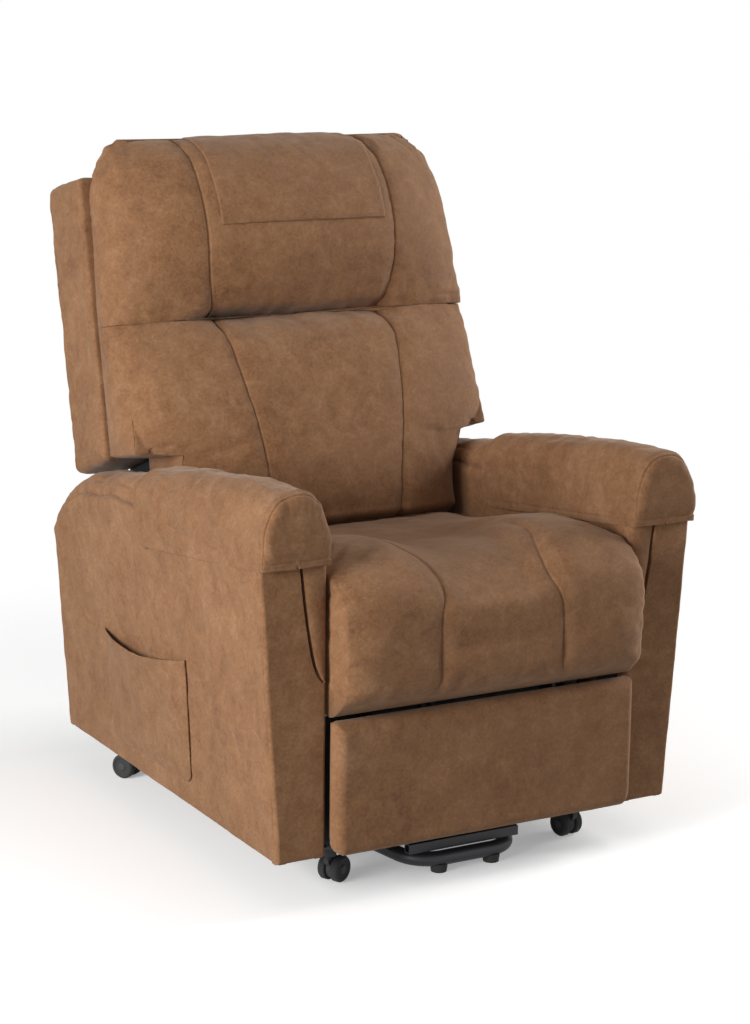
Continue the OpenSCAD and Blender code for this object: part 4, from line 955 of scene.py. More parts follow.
def make_wing(side):
    """Padded wing beside the back: rounded section carried up from a sloping lower edge, its ends rounded over."""
    x0, x1 = BOARD_HALF + 0.0004, WING_HALF
    ring = densify(rounded_ring(x0, x1, -BACK_REAR, CUSHION_BACK, (0.007, 0.003, 0.003, 0.022)), 0.007)
    middle = np.array([(x0 + x1) / 2, (CUSHION_BACK - BACK_REAR) / 2])
    half = np.array([(x1 - x0) / 2, (BACK_REAR + CUSHION_BACK) / 2])
    roll, length = 0.014, WING_HIGH - WING_FRONT
    v = spread(0.0, length, 0.008, (0.007, length - 0.007), 0.007, 0.002)
    inset = roll * (1 - edge_round(v, length, roll))
    scaled = middle + (ring - middle)[None] * (1 - inset[:, None, None] / half)
    slope = (CUSHION_BACK - ring[:, 1]) / (2 * half[1])
    start = WING_FRONT + (WING_REAR - WING_FRONT) * slope[None]
    s = start + (v / length)[:, None] * (WING_HIGH - start)
    grid = on_back(scaled[..., 0], scaled[..., 1], s)
    out = outward(grid, True)
    soft = 0.0016 * wander(grid, 0.11, 31 + side, 3) + 0.0009 * wander(grid, 0.04, 33 + side, 2)
    outer = scaled[..., 0] > x1 - 0.012
    edge = np.minimum(np.abs(scaled[..., 1] + BACK_REAR - 0.024), np.abs(scaled[..., 1] - CUSHION_BACK + 0.012))
    soft = soft - 0.002 * dip(edge, 0.003) * outer
    grid = grid + out * np.minimum(soft, 0.002)[..., None]
    name = side_name(side)
    obj = tube_skin(f"back_wing_pad_{name}", on_side(side, grid))
    upholster(obj, "back", "fabric_back", f"back_wing_{name}")


def make_back_shell():
    """Wings and the panels that close the back behind and on top."""
    for side in (-1, 1):
        make_wing(side)
    half = BOARD_HALF
    u = spread(-half, half, 0.008, (-half + 0.012, half - 0.012), 0.006, 0.0015)
    v = spread(0.0, WING_HIGH, 0.009, (0.02, 0.03), 0.006, 0.0015)
    s, x = v[:, None], u[None]
    puff = edge_round(x + half, 2 * half, 0.01) * edge_round(s, WING_HIGH + 0.02, 0.01)
    rise = -0.008 + 0.008 * puff - 0.002 * dip(np.abs(x) - half + 0.012, 0.0025) - 0.0015 * dip(s - 0.025, 0.0025)
    rise = rise + 0.0012 * wander(on_back(x, 0.0, s), 0.12, 41, 3) * puff
    grid = on_back(x, -BACK_REAR - np.minimum(rise, 0.0), s)
    inwards = on_back(0.0, 0.012, 0.0) - on_back(0.0, 0.0, 0.0)
    rear = pad_skin("back_rear_cover", grid, inwards, on_back(0.0, -BACK_REAR + 0.022, 0.37))
    upholster(rear, "back", "fabric_back", "back_rear_panel")
    t = spread(-BACK_REAR, CUSHION_BACK, 0.006)[:, None]
    puff = edge_round(t + BACK_REAR, BACK_REAR + CUSHION_BACK, 0.008)
    grid = on_back(x, t, WING_HIGH - 0.006 + 0.006 * puff + 0.0008 * wander(on_back(x, t, 0.0), 0.09, 43, 2))
    down = on_back(0.0, 0.0, -0.012) - on_back(0.0, 0.0, 0.0)
    top = pad_skin("back_top_cover", grid, down, on_back(0.0, -0.07, WING_HIGH - 0.026))
    upholster(top, "back", "fabric_back")


# ---------------- arms


def crown_at(depth):
    """Top line of the armrest: level, then falling by a power curve, then an arc round the back's hinge."""
    fall = (CROWN - HINGE[2] - SWEEP) * np.clip((depth - CROWN_START) / (HINGE_DEPTH - CROWN_START), 0, 1) ** 1.6
    arc = HINGE[2] + np.sqrt(np.maximum(1e-4, SWEEP**2 - np.maximum(0, depth - HINGE_DEPTH) ** 2))
    return np.where(depth <= HINGE_DEPTH, CROWN - fall, arc)


def side_top(depth):
    """Top edge of the arm's side panels."""
    return np.minimum(SIDE_TOP, crown_at(depth) - 0.048)


def outer_at(z):
    """Outer face of the arm, which leans out from its foot."""
    return OUTER - FLARE + FLARE * (z - BOTTOM) / (SIDE_TOP - BOTTOM)


def arm_panel(kind, node, side, grid, wall, back):
    """Padded panel of one arm: a grid of its face, the way to its rear and a point behind it, all for the right."""
    name = side_name(side)
    turn = np.array([side, 1, 1])
    obj = pad_skin(f"arm_{kind}_{name}", on_side(side, grid), np.array(wall) * turn, at(*back) * turn)
    upholster(obj, "chassis", "fabric_arm", f"arm_{node}_{name}")


def side_face(depth, v, radius):
    """Top and heights of a side panel under the armrest, and its fullness, which falls off at its borders."""
    top = side_top(depth) + 0.004
    z = BOTTOM + v * (top - BOTTOM)
    puff = edge_round(depth - PANEL_START, PANEL_LENGTH, radius) * edge_round(z - BOTTOM, top - BOTTOM, 0.006)
    return top, z, puff


def make_arm_side(side):
    """Outer panel: across depth and height, x follows the leaning face, with soft borders and slow ripples."""
    end = PANEL_START + PANEL_LENGTH
    depth = spread(PANEL_START, end, 0.008, (PANEL_START + 0.006, end - 0.006), 0.008, 0.0014)[None]
    v = spread(0.0, 1.0, 0.016, (0.01, 0.985), 0.02, 0.004)[:, None]
    top, z, puff = side_face(depth, v, 0.007)
    place = at(0.0, depth, z)
    ripple = 0.0017 * wander(place, 0.15, 51 + side, 3) + 0.0006 * wander(place, 0.045, 53 + side, 2)
    pull = 0.0018 * wander(place * [1, 0.3, 1.0], 0.05, 55 + side, 2) * dip(top - z, 0.07)
    corner = 0.0012 * wander(place * [1, 1, 0.35], 0.03, 57 + side, 2) * dip(depth - PANEL_START, 0.03)
    x = outer_at(z) - 0.0072 + 0.007 * puff + np.clip(ripple + pull + corner, -0.001, 0.003) * puff
    back = (OUTER - FLARE - 0.02, ARM_DEPTH / 2, 0.3)
    arm_panel("side", "outer_panel", side, at(x, depth, z), (-PANEL_WALL, 0, 0), back)


def slit_at(z):
    """How far the slit on the arm's front stands from its inner edge: a power curve up from its lower end."""
    q = np.clip((z - SLIT_FOOT) / (SIDE_TOP - SLIT_FOOT), 0, 1)
    return np.maximum(0.0062, 0.046 * q**0.42)


def make_arm_front(side):
    """Front panel of an arm: a slit curves up it and cuts off a padded strip beside the seat."""
    z = spread(BOTTOM, SIDE_TOP, 0.006, (BOTTOM + 0.004, SLIT_FOOT + 0.001), 0.008, 0.0014)[:, None]
    wide = outer_at(z) - PANEL_SHY - INNER
    slit = slit_at(z)
    near = np.linspace(-SLIT_HALF, SLIT_HALF, 24)[None]
    strip = np.linspace(0, 1, 14)[None, :-1] * (slit - SLIT_HALF)
    rest = slit + SLIT_HALF + spread(0.0, 1.0, 0.05, (0.97,), 0.06, 0.012)[None, 1:] * (wide - slit - SLIT_HALF)
    across = np.concatenate([strip, slit + near, rest], 1)
    puff = edge_round(across, wide, 0.006) * edge_round(z - BOTTOM, SIDE_TOP + 0.02 - BOTTOM, 0.006)
    place = at(across, 0.0, z)
    ripple = 0.0012 * wander(place * [0.6, 1, 1], 0.12, 61 + side, 3) + 0.0005 * wander(place, 0.04, 63 + side, 2)
    opened = smooth((z - SLIT_FOOT + 0.001) / 0.003)
    inner = (across < slit) * opened
    strip_puff = 0.005 * np.sin(math.pi * np.clip(across / slit, 0, 1)) ** 0.6 - 0.003
    trench = 0.013 * smooth((0.0031 - np.abs(across - slit)) / 0.0014) * opened
    rise = -0.007 + 0.0065 * puff + np.clip(ripple, -0.0008, 0.0015) * puff + strip_puff * inner * puff - trench
    grid = at(INNER + PANEL_INSET + across, ARM_FACE - rise, z)
    arm_panel("front", "end_panels", side, grid, (0, PANEL_WALL, 0), ((INNER + OUTER) / 2, ARM_FACE + 0.03, 0.3))


def make_arm_rear(side):
    """Rear panel of an arm, under the rounded end of the armrest."""
    top = float(side_top(np.array(ARM_DEPTH))) + 0.004
    u = spread(0.0, 1.0, 0.05, (0.03, 0.97), 0.06, 0.012)[None]
    z = spread(BOTTOM, top, 0.007, (BOTTOM + 0.006, top - 0.006), 0.006, 0.0015)[:, None]
    wide = outer_at(z) - PANEL_SHY - INNER
    puff = edge_round(u * wide, wide, 0.006) * edge_round(z - BOTTOM, top - BOTTOM, 0.006)
    ripple = 0.0012 * wander(at(u * 0.1, 0.0, z), 0.12, 65 + side, 3)
    face = ARM_DEPTH - 0.007 + 0.0065 * puff + np.minimum(ripple, 0.0005) * puff
    grid = at(INNER + PANEL_INSET + u * wide, face, z)
    arm_panel("rear", "end_panels", side, grid, (0, -PANEL_WALL, 0), ((INNER + OUTER) / 2, ARM_DEPTH - 0.03, 0.3))


def make_arm_inner(side):
    """Inner side panel facing the seat."""
    depth = spread(PANEL_START, PANEL_START + PANEL_LENGTH, 0.01, (PANEL_START + 0.006,), 0.006, 0.002)[None]
    _, z, puff = side_face(depth, spread(0.0, 1.0, 0.02)[:, None], 0.006)
    ripple = np.clip(0.001 * wander(at(0.0, depth, z), 0.1, 71 + side, 3), -0.002, 0.0002)
    grid = at(INNER + 0.006 - (0.006 + ripple) * puff, depth, z)
    arm_panel("inner", "inner_panel", side, grid, (PANEL_WALL, 0, 0), (INNER + 0.03, ARM_DEPTH / 2, 0.3))


def rest_section(depth, angle, grow, floor):
    """Armrest section at a depth: a flattened half ellipse of power 2.5 from the inner to the outer side."""
    zb = side_top(depth) + floor
    x0 = INNER + COVER_THICK - grow
    x1 = outer_at(side_top(depth)) - COVER_THICK + grow
    rise = crown_at(depth) - COVER_THICK + grow - zb
    c, s = np.cos(angle), np.sin(angle)
    x = (x0 + x1) / 2 + (x1 - x0) / 2 * np.sign(c) * np.abs(c) ** 0.8
    return x, zb + rise * np.maximum(s, 0) ** 0.8


def make_armrest(side):
    """Armrest pad with a sewn band along its lower edge, rounded at both ends."""
    name = side_name(side)
    start, length = ARM_FACE, ARM_DEPTH - ARM_FACE
    depth = spread(start, ARM_DEPTH, 0.008, (start, ARM_DEPTH), 0.02, 0.003)[:, None]
    angle = np.linspace(0, math.pi, 110)[None]
    end = edge_round(depth - start, length, 0.016)
    inside = np.clip(depth, 0.0, ARM_DEPTH)
    x, z = rest_section(inside, angle, 0.0, 0.001)
    zb = side_top(inside) + 0.001
    middle = (INNER + OUTER) / 2
    shrink = 0.88 + 0.12 * end
    grid_x, grid_z = middle + (x - middle) * shrink, zb + (z - zb) * shrink
    grid = at(grid_x, depth, grid_z)
    out = outward(grid)
    rise = grid_z - zb
    flank = smooth((np.abs(np.cos(angle)) - 0.3) / 0.3)
    sewn = 0.0022 * dip(rise - 0.014, 0.01) - 0.003 * (dip(rise - 0.028, 0.0028) + dip(rise, 0.004))
    push = sewn * flank
    push = push + 0.0014 * wander(grid, 0.09, 81 + side, 3) + 0.0008 * wander(grid, 0.03, 83 + side, 2)
    grid = grid + out * np.minimum(push, 0.004)[..., None]
    base = at(middle + np.linspace(-1, 1, 9)[None] * 0.05, depth, zb)
    obj = tube_skin(f"armrest_cushion_{name}", on_side(side, np.concatenate([grid, base], 1)))
    upholster(obj, "chassis", "fabric_arm", f"armrest_pad_{name}")


def hem_at(depth):
    """Height of the lower edge of an armrest cover, falling evenly towards the rear."""
    return SIDE_TOP - 0.002 - HEM_DROP * np.clip((depth - COVER_FRONT) / (COVER_REAR - COVER_FRONT), 0, 1)


def make_arm_cover(side):
    """Fitted cover: a wrap over the armrest with hanging sides, and an arched front joined by a stitched seam."""
    name = side_name(side)
    along = spread(0.0, 1.0, 0.014, (0.0, 1.0), 0.035, 0.0045)[:, None]
    angle = np.linspace(0, math.pi, 120)[None]
    skirt = 22
    fall = np.linspace(0, 1, skirt + 1)[1:]
    drop = np.concatenate([fall[::-1], np.zeros(120), fall])
    # the rear edge is vertical and rounds forward to the hem
    rear = COVER_REAR + 0.012 - 0.040 * (1 - quarter_round((1 - drop) / 0.75))[None]
    depth = COVER_FRONT + along * (rear - COVER_FRONT)
    inside = np.maximum(depth[:, skirt:-skirt], 0.0)
    x, z = rest_section(inside, angle, COVER_THICK + 0.0005, 0.010)
    bow = 0.010 * smooth((0.32 - inside) / 0.3)
    z = z + bow * np.sin(angle) ** 0.7
    middle = (INNER + OUTER) / 2
    x1, z1, x0, z0 = x[:, :1], z[:, :1], x[:, -1:], z[:, -1:]
    w = drop[None, :skirt]
    out_z = z1 + (hem_at(depth[:, :skirt]) - z1) * w
    out_x = np.minimum(x1, outer_at(out_z) + 0.0032 + 0.001 * w)
    w = drop[None, -skirt:]
    in_z = z0 + (hem_at(depth[:, -skirt:]) - z0) * w
    in_x = x0 + (INNER - 0.0024 - x0) * np.minimum(1, w * 3)
    gx, gz = np.concatenate([out_x, x, in_x], 1), np.concatenate([out_z, z, in_z], 1)
    end = quarter_round((depth - COVER_FRONT) / 0.014)
    floor = hem_at(depth)
    grid = at(middle + (gx - middle) * (0.95 + 0.05 * end), depth, floor + (gz - floor) * (0.955 + 0.045 * end))
    out = outward(grid)
    rise = grid[..., 2] - floor
    loose = 0.0018 * wander(grid * [1, 0.6, 1], 0.07, 91 + side, 3) + 0.0012 * wander(grid, 0.03, 93 + side, 2)
    loose = loose * smooth(rise / 0.03) + 0.0012 * wander(grid * [1, 1, 0.3], 0.05, 97 + side, 2) * dip(rise, 0.03)
    hem = 0.0008 * smooth((0.011 - rise) / 0.002) - 0.0012 * dip(rise - HEM, 0.0014)
    seam = -0.0022 * dip(depth - COVER_FRONT - 0.006, 0.0018)
    gather = 0.0009 * wander(grid * [0.3, 0.1, 1], 0.011, 99, 2) * dip(depth - COVER_FRONT - 0.011, 0.006)
    rim = -0.0012 * dip(depth - rear + 0.010, 0.0016)
    push = np.clip(loose, -0.002, 0.0024) + hem + seam + gather + rim
    grid = grid + out * push[..., None]
    grid, out = on_side(side, grid), on_side(side, out)
    wrap = cloth_sheet(f"armrest_cover_wrap_{name}", grid, 0.003)
    dress(wrap, "chassis", material("fabric_cover"))
    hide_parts(f"armrest_cover_{name}")
    make_cover_arch(side, name, grid[0], middle)
    last = grid.shape[1] - 1
    lines = []
    for place in (0.0105, 0.0145):
        row = np.interp(place / (COVER_REAR - COVER_FRONT), along[:, 0], np.arange(len(along)))
        lines.append(seam_line(grid, out, np.full(160, row), np.linspace(1.0, last - 1.0, 160)))
    rows = np.arange(3, len(along) - 4, 1.0)
    for cols in (slice(0, skirt), slice(-skirt, None)):
        here = [np.interp(HEM, *sorted_pair(rise[int(r), cols], np.arange(last + 1.0)[cols])) for r in rows]
        lines.append(seam_line(grid, out, rows, np.array(here)))
    lines.append(seam_line(grid, out, np.full(160, len(along) - 5.4), np.linspace(3.0, last - 3.0, 160)))
    stitches(f"armrest_cover_thread_{name}", lines, "chassis")


def sorted_pair(keys, values):
    """Both lists in the order of the first."""
    order = np.argsort(keys)
    return keys[order], values[order]


def make_cover_arch(side, name, edge, middle):
    """Arched front of a cover: the wrap's first ring drawn in to the middle of its hem, puffed forwards,
    creased and hemmed."""
    low = edge[:, 2].min()
    centre = np.array([middle * side, edge[0, 1], low])
    w = spread(0.0, 0.97, 0.03, (0.0,), 0.16, 0.009)[:, None, None]
    ring = np.pad(edge, ((12, 12), (0, 0)), "edge")
    ring = np.stack([np.convolve(ring[:, k], np.ones(25) / 25, "valid") for k in range(3)], -1)
    face = edge[None] + (ring - edge)[None] * smooth(w / 0.3) + (centre - ring)[None] * w
    face[..., 2] = np.maximum(face[..., 2], low)
    high = face[..., 2] - low
    near = np.minimum(1, np.linalg.norm(face - edge[None], axis=-1) / 0.017)
    puff = 0.008 * quarter_round(near) * (0.3 + 0.7 * smooth((high - 0.004) / 0.03))
    turned = face @ np.array([[0.8, 0, 0.6], [0, 1, 0], [-0.25, 0, 0.35]])
    crease = 0.0007 * wander(turned, 0.045, 95 + side, 2) * near
    hem = (0.0006 * smooth((0.011 - high) / 0.002) - 0.0012 * dip(high - HEM, 0.0014)) * near
    face = face + np.array([0, -1.0, 0]) * (puff + crease + hem)[..., None]
    behind = at(side * middle, 0.0, SIDE_TOP + 0.03)
    arch = pad_skin(f"armrest_cover_arch_{name}", face, np.array([0, 0.002, 0]), behind)
    upholster(arch, "chassis", "fabric_cover", f"armrest_cover_{name}")
    x = np.linspace(-0.052, 0.052, 60) + side * middle
    flat = face.reshape(-1, 3)
    gap = np.abs(flat[None, :, 0] - x[:, None]) + 3 * np.abs(flat[None, :, 2] - low - HEM)
    depth = np.sort(flat[:, 1][np.argsort(gap, axis=1)[:, :4]], axis=1)[:, 0]
    depth = np.convolve(np.pad(depth, 4, "edge"), np.ones(9) / 9, "valid") - 0.0004
    line = np.stack([x, depth, np.full(60, low + HEM)], -1)
    stitches(f"armrest_cover_hem_{name}", [(line, np.zeros((60, 3)) + [0, -1, 0])], "chassis")


def make_pocket():
    """Storage pocket: a cloth panel sewn to the arm on three sides, its mouth sagging and standing open."""
    d0, d1 = 0.28, 0.61
    u = spread(0.0, 1.0, 0.02, (0.0, 1.0), 0.03, 0.006)[None]
    v = spread(0.0, 1.0, 0.025, (0.0, 1.0), 0.04, 0.006)[:, None]
    rim = 0.336 - 0.026 * u - 0.016 * np.sin(math.pi * u)
    corner = np.clip((0.06 - u) / 0.06, 0, 1) ** 2 + 0.7 * np.clip((u - 0.95) / 0.05, 0, 1) ** 2
    foot = POCKET_FOOT + 0.004 + 0.006 * (1 - u) + 0.012 * corner
    z = foot + v * (rim - foot)
    slope = 0.010 * (1 - v)
    depth = (d0 + slope) + u * (d1 - d0 - 2 * slope)
    belly = np.sin(math.pi * np.clip(u, 0, 1)) ** 0.6
    gape = (0.0125 * v**1.6 + 0.0045) * belly * smooth(v / 0.12)
    fold = 0.0014 * wander(at(0.0, depth, z) * [1, 1, 0.5], 0.06, 101, 3) * belly
    x = outer_at(z) + 0.0024 + gape + fold + 0.0012 * dip(v - 0.97, 0.03)
    grid = mirrored(at(x, depth, z))
    cloth = dress(cloth_sheet("side_pocket_cloth", grid, 0.0022), "chassis", material("fabric_pocket"))
    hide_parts("side_pocket")
    out = normals_of(grid)
    out = out * np.sign(-out[..., 0].mean())
    rows, cols = grid.shape[:2]
    lines = [
        seam_line(grid, out, np.linspace(1, rows - 2, 80), np.full(80, 4.0)),
        seam_line(grid, out, np.linspace(1, rows - 2, 80), np.full(80, cols - 5.0)),
        seam_line(grid, out, np.full(120, 4.0), np.linspace(4, cols - 5, 120)),
        seam_line(grid, out, np.full(120, rows - 6.0), np.linspace(1, cols - 2, 120)),
    ]
    stitches("side_pocket_thread", lines, "chassis")


# ---------------- footrest


def make_footrest():
    """Footrest panel: its width follows rounded lower corners, and its face is crowned with turned edges."""
    half, low, high = FOOT_HIGH[0], FOOT_LOW[2], FOOT_HIGH[2]
    front, rear = FOOT_LOW[1] - FRONT, FOOT_HIGH[1] - FRONT
    corner, corner_top = 0.026, 0.008
    z = spread(low, high, 0.006, (low, high), 0.026, 0.002)[:, None]
    cut = corner * (1 - quarter_round((z - low) / corner))
    cut = cut + corner_top * (1 - quarter_round((high - z) / corner_top))
    u = np.sin(np.linspace(-1, 1, 130) * math.pi / 2 * 0.93)[None] / math.sin(math.pi / 2 * 0.93)
    wide = half - cut
    x = u * wide
    inwards = np.minimum(np.minimum(wide * (1 - np.abs(u)), z - low), high - z)
    roll = np.clip(inwards / 0.018, 0, 1)
    rise = quarter_round(roll)
    crown = 0.004 * np.cos(x / half * math.pi / 2) * np.sin((z - low) / (high - low) * math.pi)
    place = at(x, 0.0, z)
    ripple = 0.0012 * wander(place, 0.12, 111, 3) + 0.0008 * wander(place, 0.04, 113, 2) * (1 - roll * 0.6)
    deep = rear - 0.004 - (rear - front - 0.007) * rise
    grid = at(x, deep - (crown + np.minimum(ripple, 0.002)) * rise, z)
    obj = pad_skin("footrest_cushion", grid, np.array([0, 0.003, 0]), at(0.0, rear, (low + high) / 2))
    upholster(obj, "footrest", "fabric_seat", "footrest_pad")


def make_footwell_shade_sheet(side):
    """Black sheet behind the footrest's side edge, hung from the arm: painted shade, which darkens the gap beside
    the footrest where the chair's inside lies in shadow.
    """
    name = side_name(side)
    x = np.linspace(INNER - 0.001, 0.241, 12)[None]
    z = np.linspace(0.086, 0.297, 40)[:, None]
    grid = at(x, FOOTWELL + 0.0015 * wander(at(x, 0.0, z) * [1, 1, 0.4], 0.05, 121 + side, 2), z)
    cloth = cloth_sheet(f"footwell_shade_sheet_{name}", on_side(side, grid), 0.0012)
    # the black lining material here is painted shade for the dark gap beside the footrest
    dress(cloth, "chassis", material("lining"))


# ---------------- hard parts


def lathe(name, profile, centre, axis, body, finish, count=32):
    """Piece turned about an axis: radius and reach pairs swept round the centre."""
    axis = np.asarray(axis, float) / np.linalg.norm(axis)
    side = np.cross(axis, [0.0, 0.0, 1.0] if abs(axis[2]) < 0.9 else [1.0, 0.0, 0.0])
    side /= np.linalg.norm(side)
    up = np.cross(axis, side)
    a = np.linspace(0, 2 * math.pi, count, endpoint=False)
    radius, reach = np.array(profile, float).T
    ring = radius[:, None, None] * (np.cos(a)[None, :, None] * side + np.sin(a)[None, :, None] * up)
    grid = np.asarray(centre) + ring + reach[:, None, None] * axis
    obj = tube_skin(name, grid)
    obj.data.set_sharp_from_angle(angle=math.radians(35))
    return dress(obj, body, material(finish))


def make_casters():
    """Moulded caps on both ends of the caster wheels."""
    for side in ("front_left", "front_right", "rear_left", "rear_right"):
        joint = next(j for j in frame["joints"] if j["name"] == f"caster_roll_{side}")
        axis = np.array(joint["axis"], float)
        centre = np.array(joint["pos_m"], float)
        for m, end in ((-1, "a"), (1, "b")):
            lathe(
                f"caster_cap_{side}_{end}",
                [(0.0075, 0.0152), (0.0075, 0.0182), (0.0062, 0.0194), (0.002, 0.0198), (0.0005, 0.0198)],
                centre, axis * m, f"caster_wheels_{side}", "black_plastic", 24,
            )


def finish_frame():
    """Materials of the frame's own nodes, by their slot."""
    finishes = {"brown_microfibre": "fabric_arm", "black_lining": "lining"}
    slots = {part["node"]: part["material_slot"] for part in frame["record"]["subparts"]}
    for name, obj in frame["nodes"].items():
        finish = "fabric_seat" if name == "footrest_board" else finishes.get(slots[name], slots[name])
        made = material(finish)
        for slot in obj.material_slots:
            slot.material = made


# ---------------- stage


def seen_directly(tree):
    """1 for camera, glossy and transmission rays, 0 for the others."""
    rays = add(tree, "ShaderNodeLightPath")
    seen = worked(tree, "ADD", rays.outputs["Is Camera Ray"], rays.outputs["Is Glossy Ray"])
    return worked(tree, "MINIMUM", worked(tree, "ADD", seen, rays.outputs["Is Transmission Ray"]), 1.0)


def floor_material():
    """White paint that keeps the chair's shadow and fades to plain white away from it where it is looked at."""
    made, tree, shader, place = start_material("studio_floor")
    seen = seen_directly(tree)
    parts = add(tree, "ShaderNodeSeparateXYZ", {"Vector": place})
    across = worked(tree, "MULTIPLY", parts.outputs["X"], parts.outputs["X"])
    along = worked(tree, "MULTIPLY", parts.outputs["Y"], parts.outputs["Y"])
    away = worked(tree, "SQRT", worked(tree, "ADD", across, along))
    speck = noise(tree, place, 240.0, 3.0, 0.6)
    tone = mixed(tree, ranged(tree, speck, 0.3, 0.7), (0.86, 0.86, 0.86), (0.9, 0.9, 0.9))
    paint = add(tree, "ShaderNodeBsdfDiffuse", {"Color": tone})
    unseen = add(tree, "ShaderNodeBsdfDiffuse", {"Color": (0.42, 0.42, 0.42)})
    glow = add(tree, "ShaderNodeEmission", {"Color": (1, 1, 1), "Strength": 0.3})
    white = add(tree, "ShaderNodeEmission", {"Color": (1, 1, 1), "Strength": 1.0})
    both = add(tree, "ShaderNodeAddShader", {0: paint.outputs[0], 1: glow.outputs[0]})
    far = ranged(tree, away, 0.9, 1.7)
    fade = add(tree, "ShaderNodeMixShader", {0: far, 1: both.outputs[0], 2: white.outputs[0]})
    mix = add(tree, "ShaderNodeMixShader", {0: seen, 1: unseen.outputs[0], 2: fade.outputs[0]})
    out = next(n for n in tree.nodes if n.type == "OUTPUT_MATERIAL")
    feed(tree, out, {"Surface": mix.outputs[0]})
    tree.nodes.remove(shader)
    return made


# name, place, aim, size in metres and power in watts
LAMPS = (
    ("key_lamp", (-3.42, -1.1, 1.35), (0, 0, 0.55), (1.5, 1.5), 150),
    ("rim_lamp", (3.2, -0.5, 1.6), (0, 0, 0.6), (1.2, 1.6), 90),
    ("fill_lamp", (2.4, -3.4, 1.8), (0, 0, 0.5), (2.4, 2.0), 11),
    ("top_lamp", (0.2, -0.2, 3.6), (0, 0, 0.4), (2.6, 2.6), 15),
)


def lamp(name, place, aim, size, power):
    """Soft rectangular lamp turned towards a point."""
    data = bpy.data.lights.new(name, "AREA")
    data.shape = "RECTANGLE"
    data.size, data.size_y = size
    data.energy = power
    obj = linked(name, data)
    obj.location = place
    way = np.array(aim, float) - np.array(place, float)
    obj.rotation_euler = Vector(way).to_track_quat("-Z", "Y").to_euler()


def place_camera():
    """Camera in front of the chair's left side, turned a little about its own line of sight."""
    azimuth, elevation, roll = math.radians(-29.53), math.radians(12.76), math.radians(0.73)
    back_way = np.array(
        [math.sin(azimuth) * math.cos(elevation), -math.cos(azimuth) * math.cos(elevation), math.sin(elevation)]
    )
    right = np.array([math.cos(azimuth), math.sin(azimuth), 0.0])
    up = np.cross(back_way, right)
    turned = math.cos(roll) * right + math.sin(roll) * up
    upright = -math.sin(roll) * right + math.cos(roll) * up
    camera = linked("camera", bpy.data.cameras.new("camera"))
    matrix = np.identity(4)
    matrix[:3, 0], matrix[:3, 1], matrix[:3, 2] = turned, upright, back_way
    matrix[:3, 3] = -2.046, -3.265 + FRONT, 1.470
    camera.matrix_world = Matrix(matrix.tolist())
    camera.data.sensor_width = 36
    camera.data.lens = 88.1
    bpy.context.scene.camera = camera


def make_stage():
    """Pale floor that bends up into a wall, soft lamps and the camera."""
    reach, depth, bend = 9.0, 4.0, 1.6
    a = np.linspace(0, math.pi / 2, 14)
    run = [(-6.0, 0.0), *[(depth + bend * math.sin(t), bend * (1 - math.cos(t))) for t in a], (depth + bend, 6.0)]
    run = np.array(run)
    x = np.linspace(-reach, reach, 3)
    grid = np.stack(np.broadcast_arrays(x[None], run[:, :1], run[:, 1:]), -1)
    floor = new_object("studio_floor", grid, [grid_faces(*grid.shape[:2])])
    floor.data.materials.append(floor_material())
    for name, place, aim, size, power in LAMPS:
        lamp(name, place, aim, size, power)
    world = bpy.data.worlds.new("studio_world")
    bpy.context.scene.world = world
    world.use_nodes = True
    tree = world.node_tree
    strength = ranged(tree, seen_directly(tree), 0.0, 1.0, 0.18, 1.0)
    feed(tree, tree.nodes["Background"], {"Color": (1, 1, 1), "Strength": strength})
    bpy.context.scene.view_settings.view_transform = "Standard"
    place_camera()


# ---------------- operators


class RECLINER_OT_frame(bpy.types.Operator):
    """Paint and plate the steel frame, the linkages and the boards"""

    bl_idname = "recliner.frame"
    bl_label = "Finish the frame"

    def execute(self, context):
        finish_frame()
        return {"FINISHED"}


class RECLINER_OT_seat(bpy.types.Operator):
    """Stuff and stitch the seat cushion"""

    bl_idname = "recliner.seat"
    bl_label = "Seat cushion"

    def execute(self, context):
        make_seat()
        return {"FINISHED"}


class RECLINER_OT_back(bpy.types.Operator):
    """Stuff and stitch the back cushions and lay on the head cover"""

    bl_idname = "recliner.back"
    bl_label = "Back cushions"

    def execute(self, context):
        make_back()
        return {"FINISHED"}


class RECLINER_OT_back_shell(bpy.types.Operator):
    """Cover the wings, the rear and the top of the back"""

    bl_idname = "recliner.back_shell"
    bl_label = "Back shell"

    def execute(self, context):
        make_back_shell()
        return {"FINISHED"}


class RECLINER_OT_arms(bpy.types.Operator):
    """Cover the arms inside, outside, in front and behind"""

    bl_idname = "recliner.arms"
    bl_label = "Arm panels"

    def execute(self, context):
        for side in (-1, 1):
            make_arm_side(side)
            make_arm_front(side)
            make_arm_rear(side)
            make_arm_inner(side)
        return {"FINISHED"}


class RECLINER_OT_armrests(bpy.types.Operator):
    """Pad the armrests and fit their covers"""

    bl_idname = "recliner.armrests"
    bl_label = "Armrests and covers"

    def execute(self, context):
        for side in (-1, 1):
            make_armrest(side)
            make_arm_cover(side)
        return {"FINISHED"}


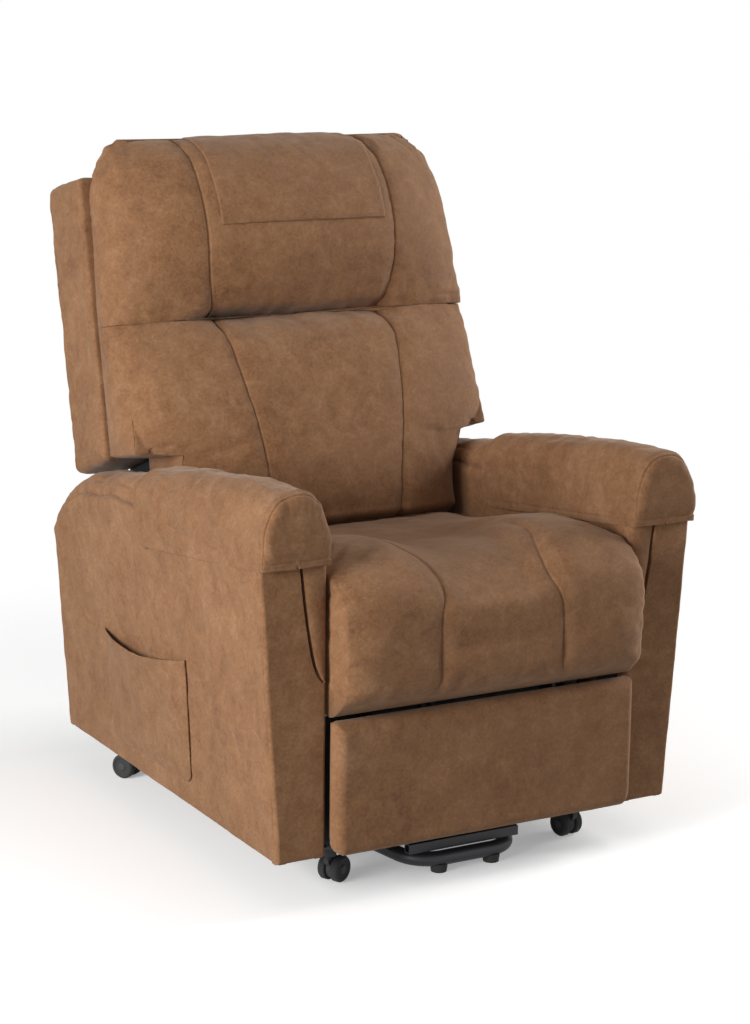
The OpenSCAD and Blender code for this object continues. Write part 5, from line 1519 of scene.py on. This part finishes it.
class RECLINER_OT_pocket(bpy.types.Operator):
    """Sew the storage pocket to the arm"""

    bl_idname = "recliner.pocket"
    bl_label = "Side pocket"

    def execute(self, context):
        make_pocket()
        return {"FINISHED"}


class RECLINER_OT_footrest(bpy.types.Operator):
    """Cover the footrest and hang the black sheets of painted shade beside it"""

    bl_idname = "recliner.footrest"
    bl_label = "Footrest"

    def execute(self, context):
        make_footrest()
        for side in (-1, 1):
            make_footwell_shade_sheet(side)
        return {"FINISHED"}


class RECLINER_OT_casters(bpy.types.Operator):
    """Cap the caster wheels"""

    bl_idname = "recliner.casters"
    bl_label = "Casters"

    def execute(self, context):
        make_casters()
        return {"FINISHED"}


class RECLINER_OT_stage(bpy.types.Operator):
    """Lay the floor, hang the lamps and place the camera"""

    bl_idname = "recliner.stage"
    bl_label = "Stage"

    def execute(self, context):
        make_stage()
        return {"FINISHED"}


STEPS = (
    RECLINER_OT_stage,
    RECLINER_OT_frame,
    RECLINER_OT_seat,
    RECLINER_OT_back,
    RECLINER_OT_back_shell,
    RECLINER_OT_arms,
    RECLINER_OT_armrests,
    RECLINER_OT_pocket,
    RECLINER_OT_footrest,
    RECLINER_OT_casters,
)


class RECLINER_PT_panel(bpy.types.Panel):
    """Panel of the recliner's settings and steps"""

    bl_idname = "RECLINER_PT_panel"
    bl_label = "Lift recliner chair"
    bl_space_type = "VIEW_3D"
    bl_region_type = "UI"
    bl_category = "Recliner"

    def draw(self, context):
        column = self.layout.column()
        for key in ReclinerSettings.__annotations__:
            column.prop(context.scene.recliner, key)
        for step in STEPS:
            column.operator(step.bl_idname)


CLASSES = (ReclinerSettings, *STEPS, RECLINER_PT_panel)


def register():
    """Adds the classes and the scene's settings."""
    for made in CLASSES:
        bpy.utils.register_class(made)
    bpy.types.Scene.recliner = bpy.props.PointerProperty(type=ReclinerSettings)


def unregister():
    """Takes the settings and the classes away again."""
    del bpy.types.Scene.recliner
    for made in reversed(CLASSES):
        bpy.utils.unregister_class(made)


def main():
    """Runs every step in order."""
    register()
    for step in STEPS:
        section, action = step.bl_idname.split(".")
        getattr(getattr(bpy.ops, section), action)()


if __name__ == "__main__":
    main()
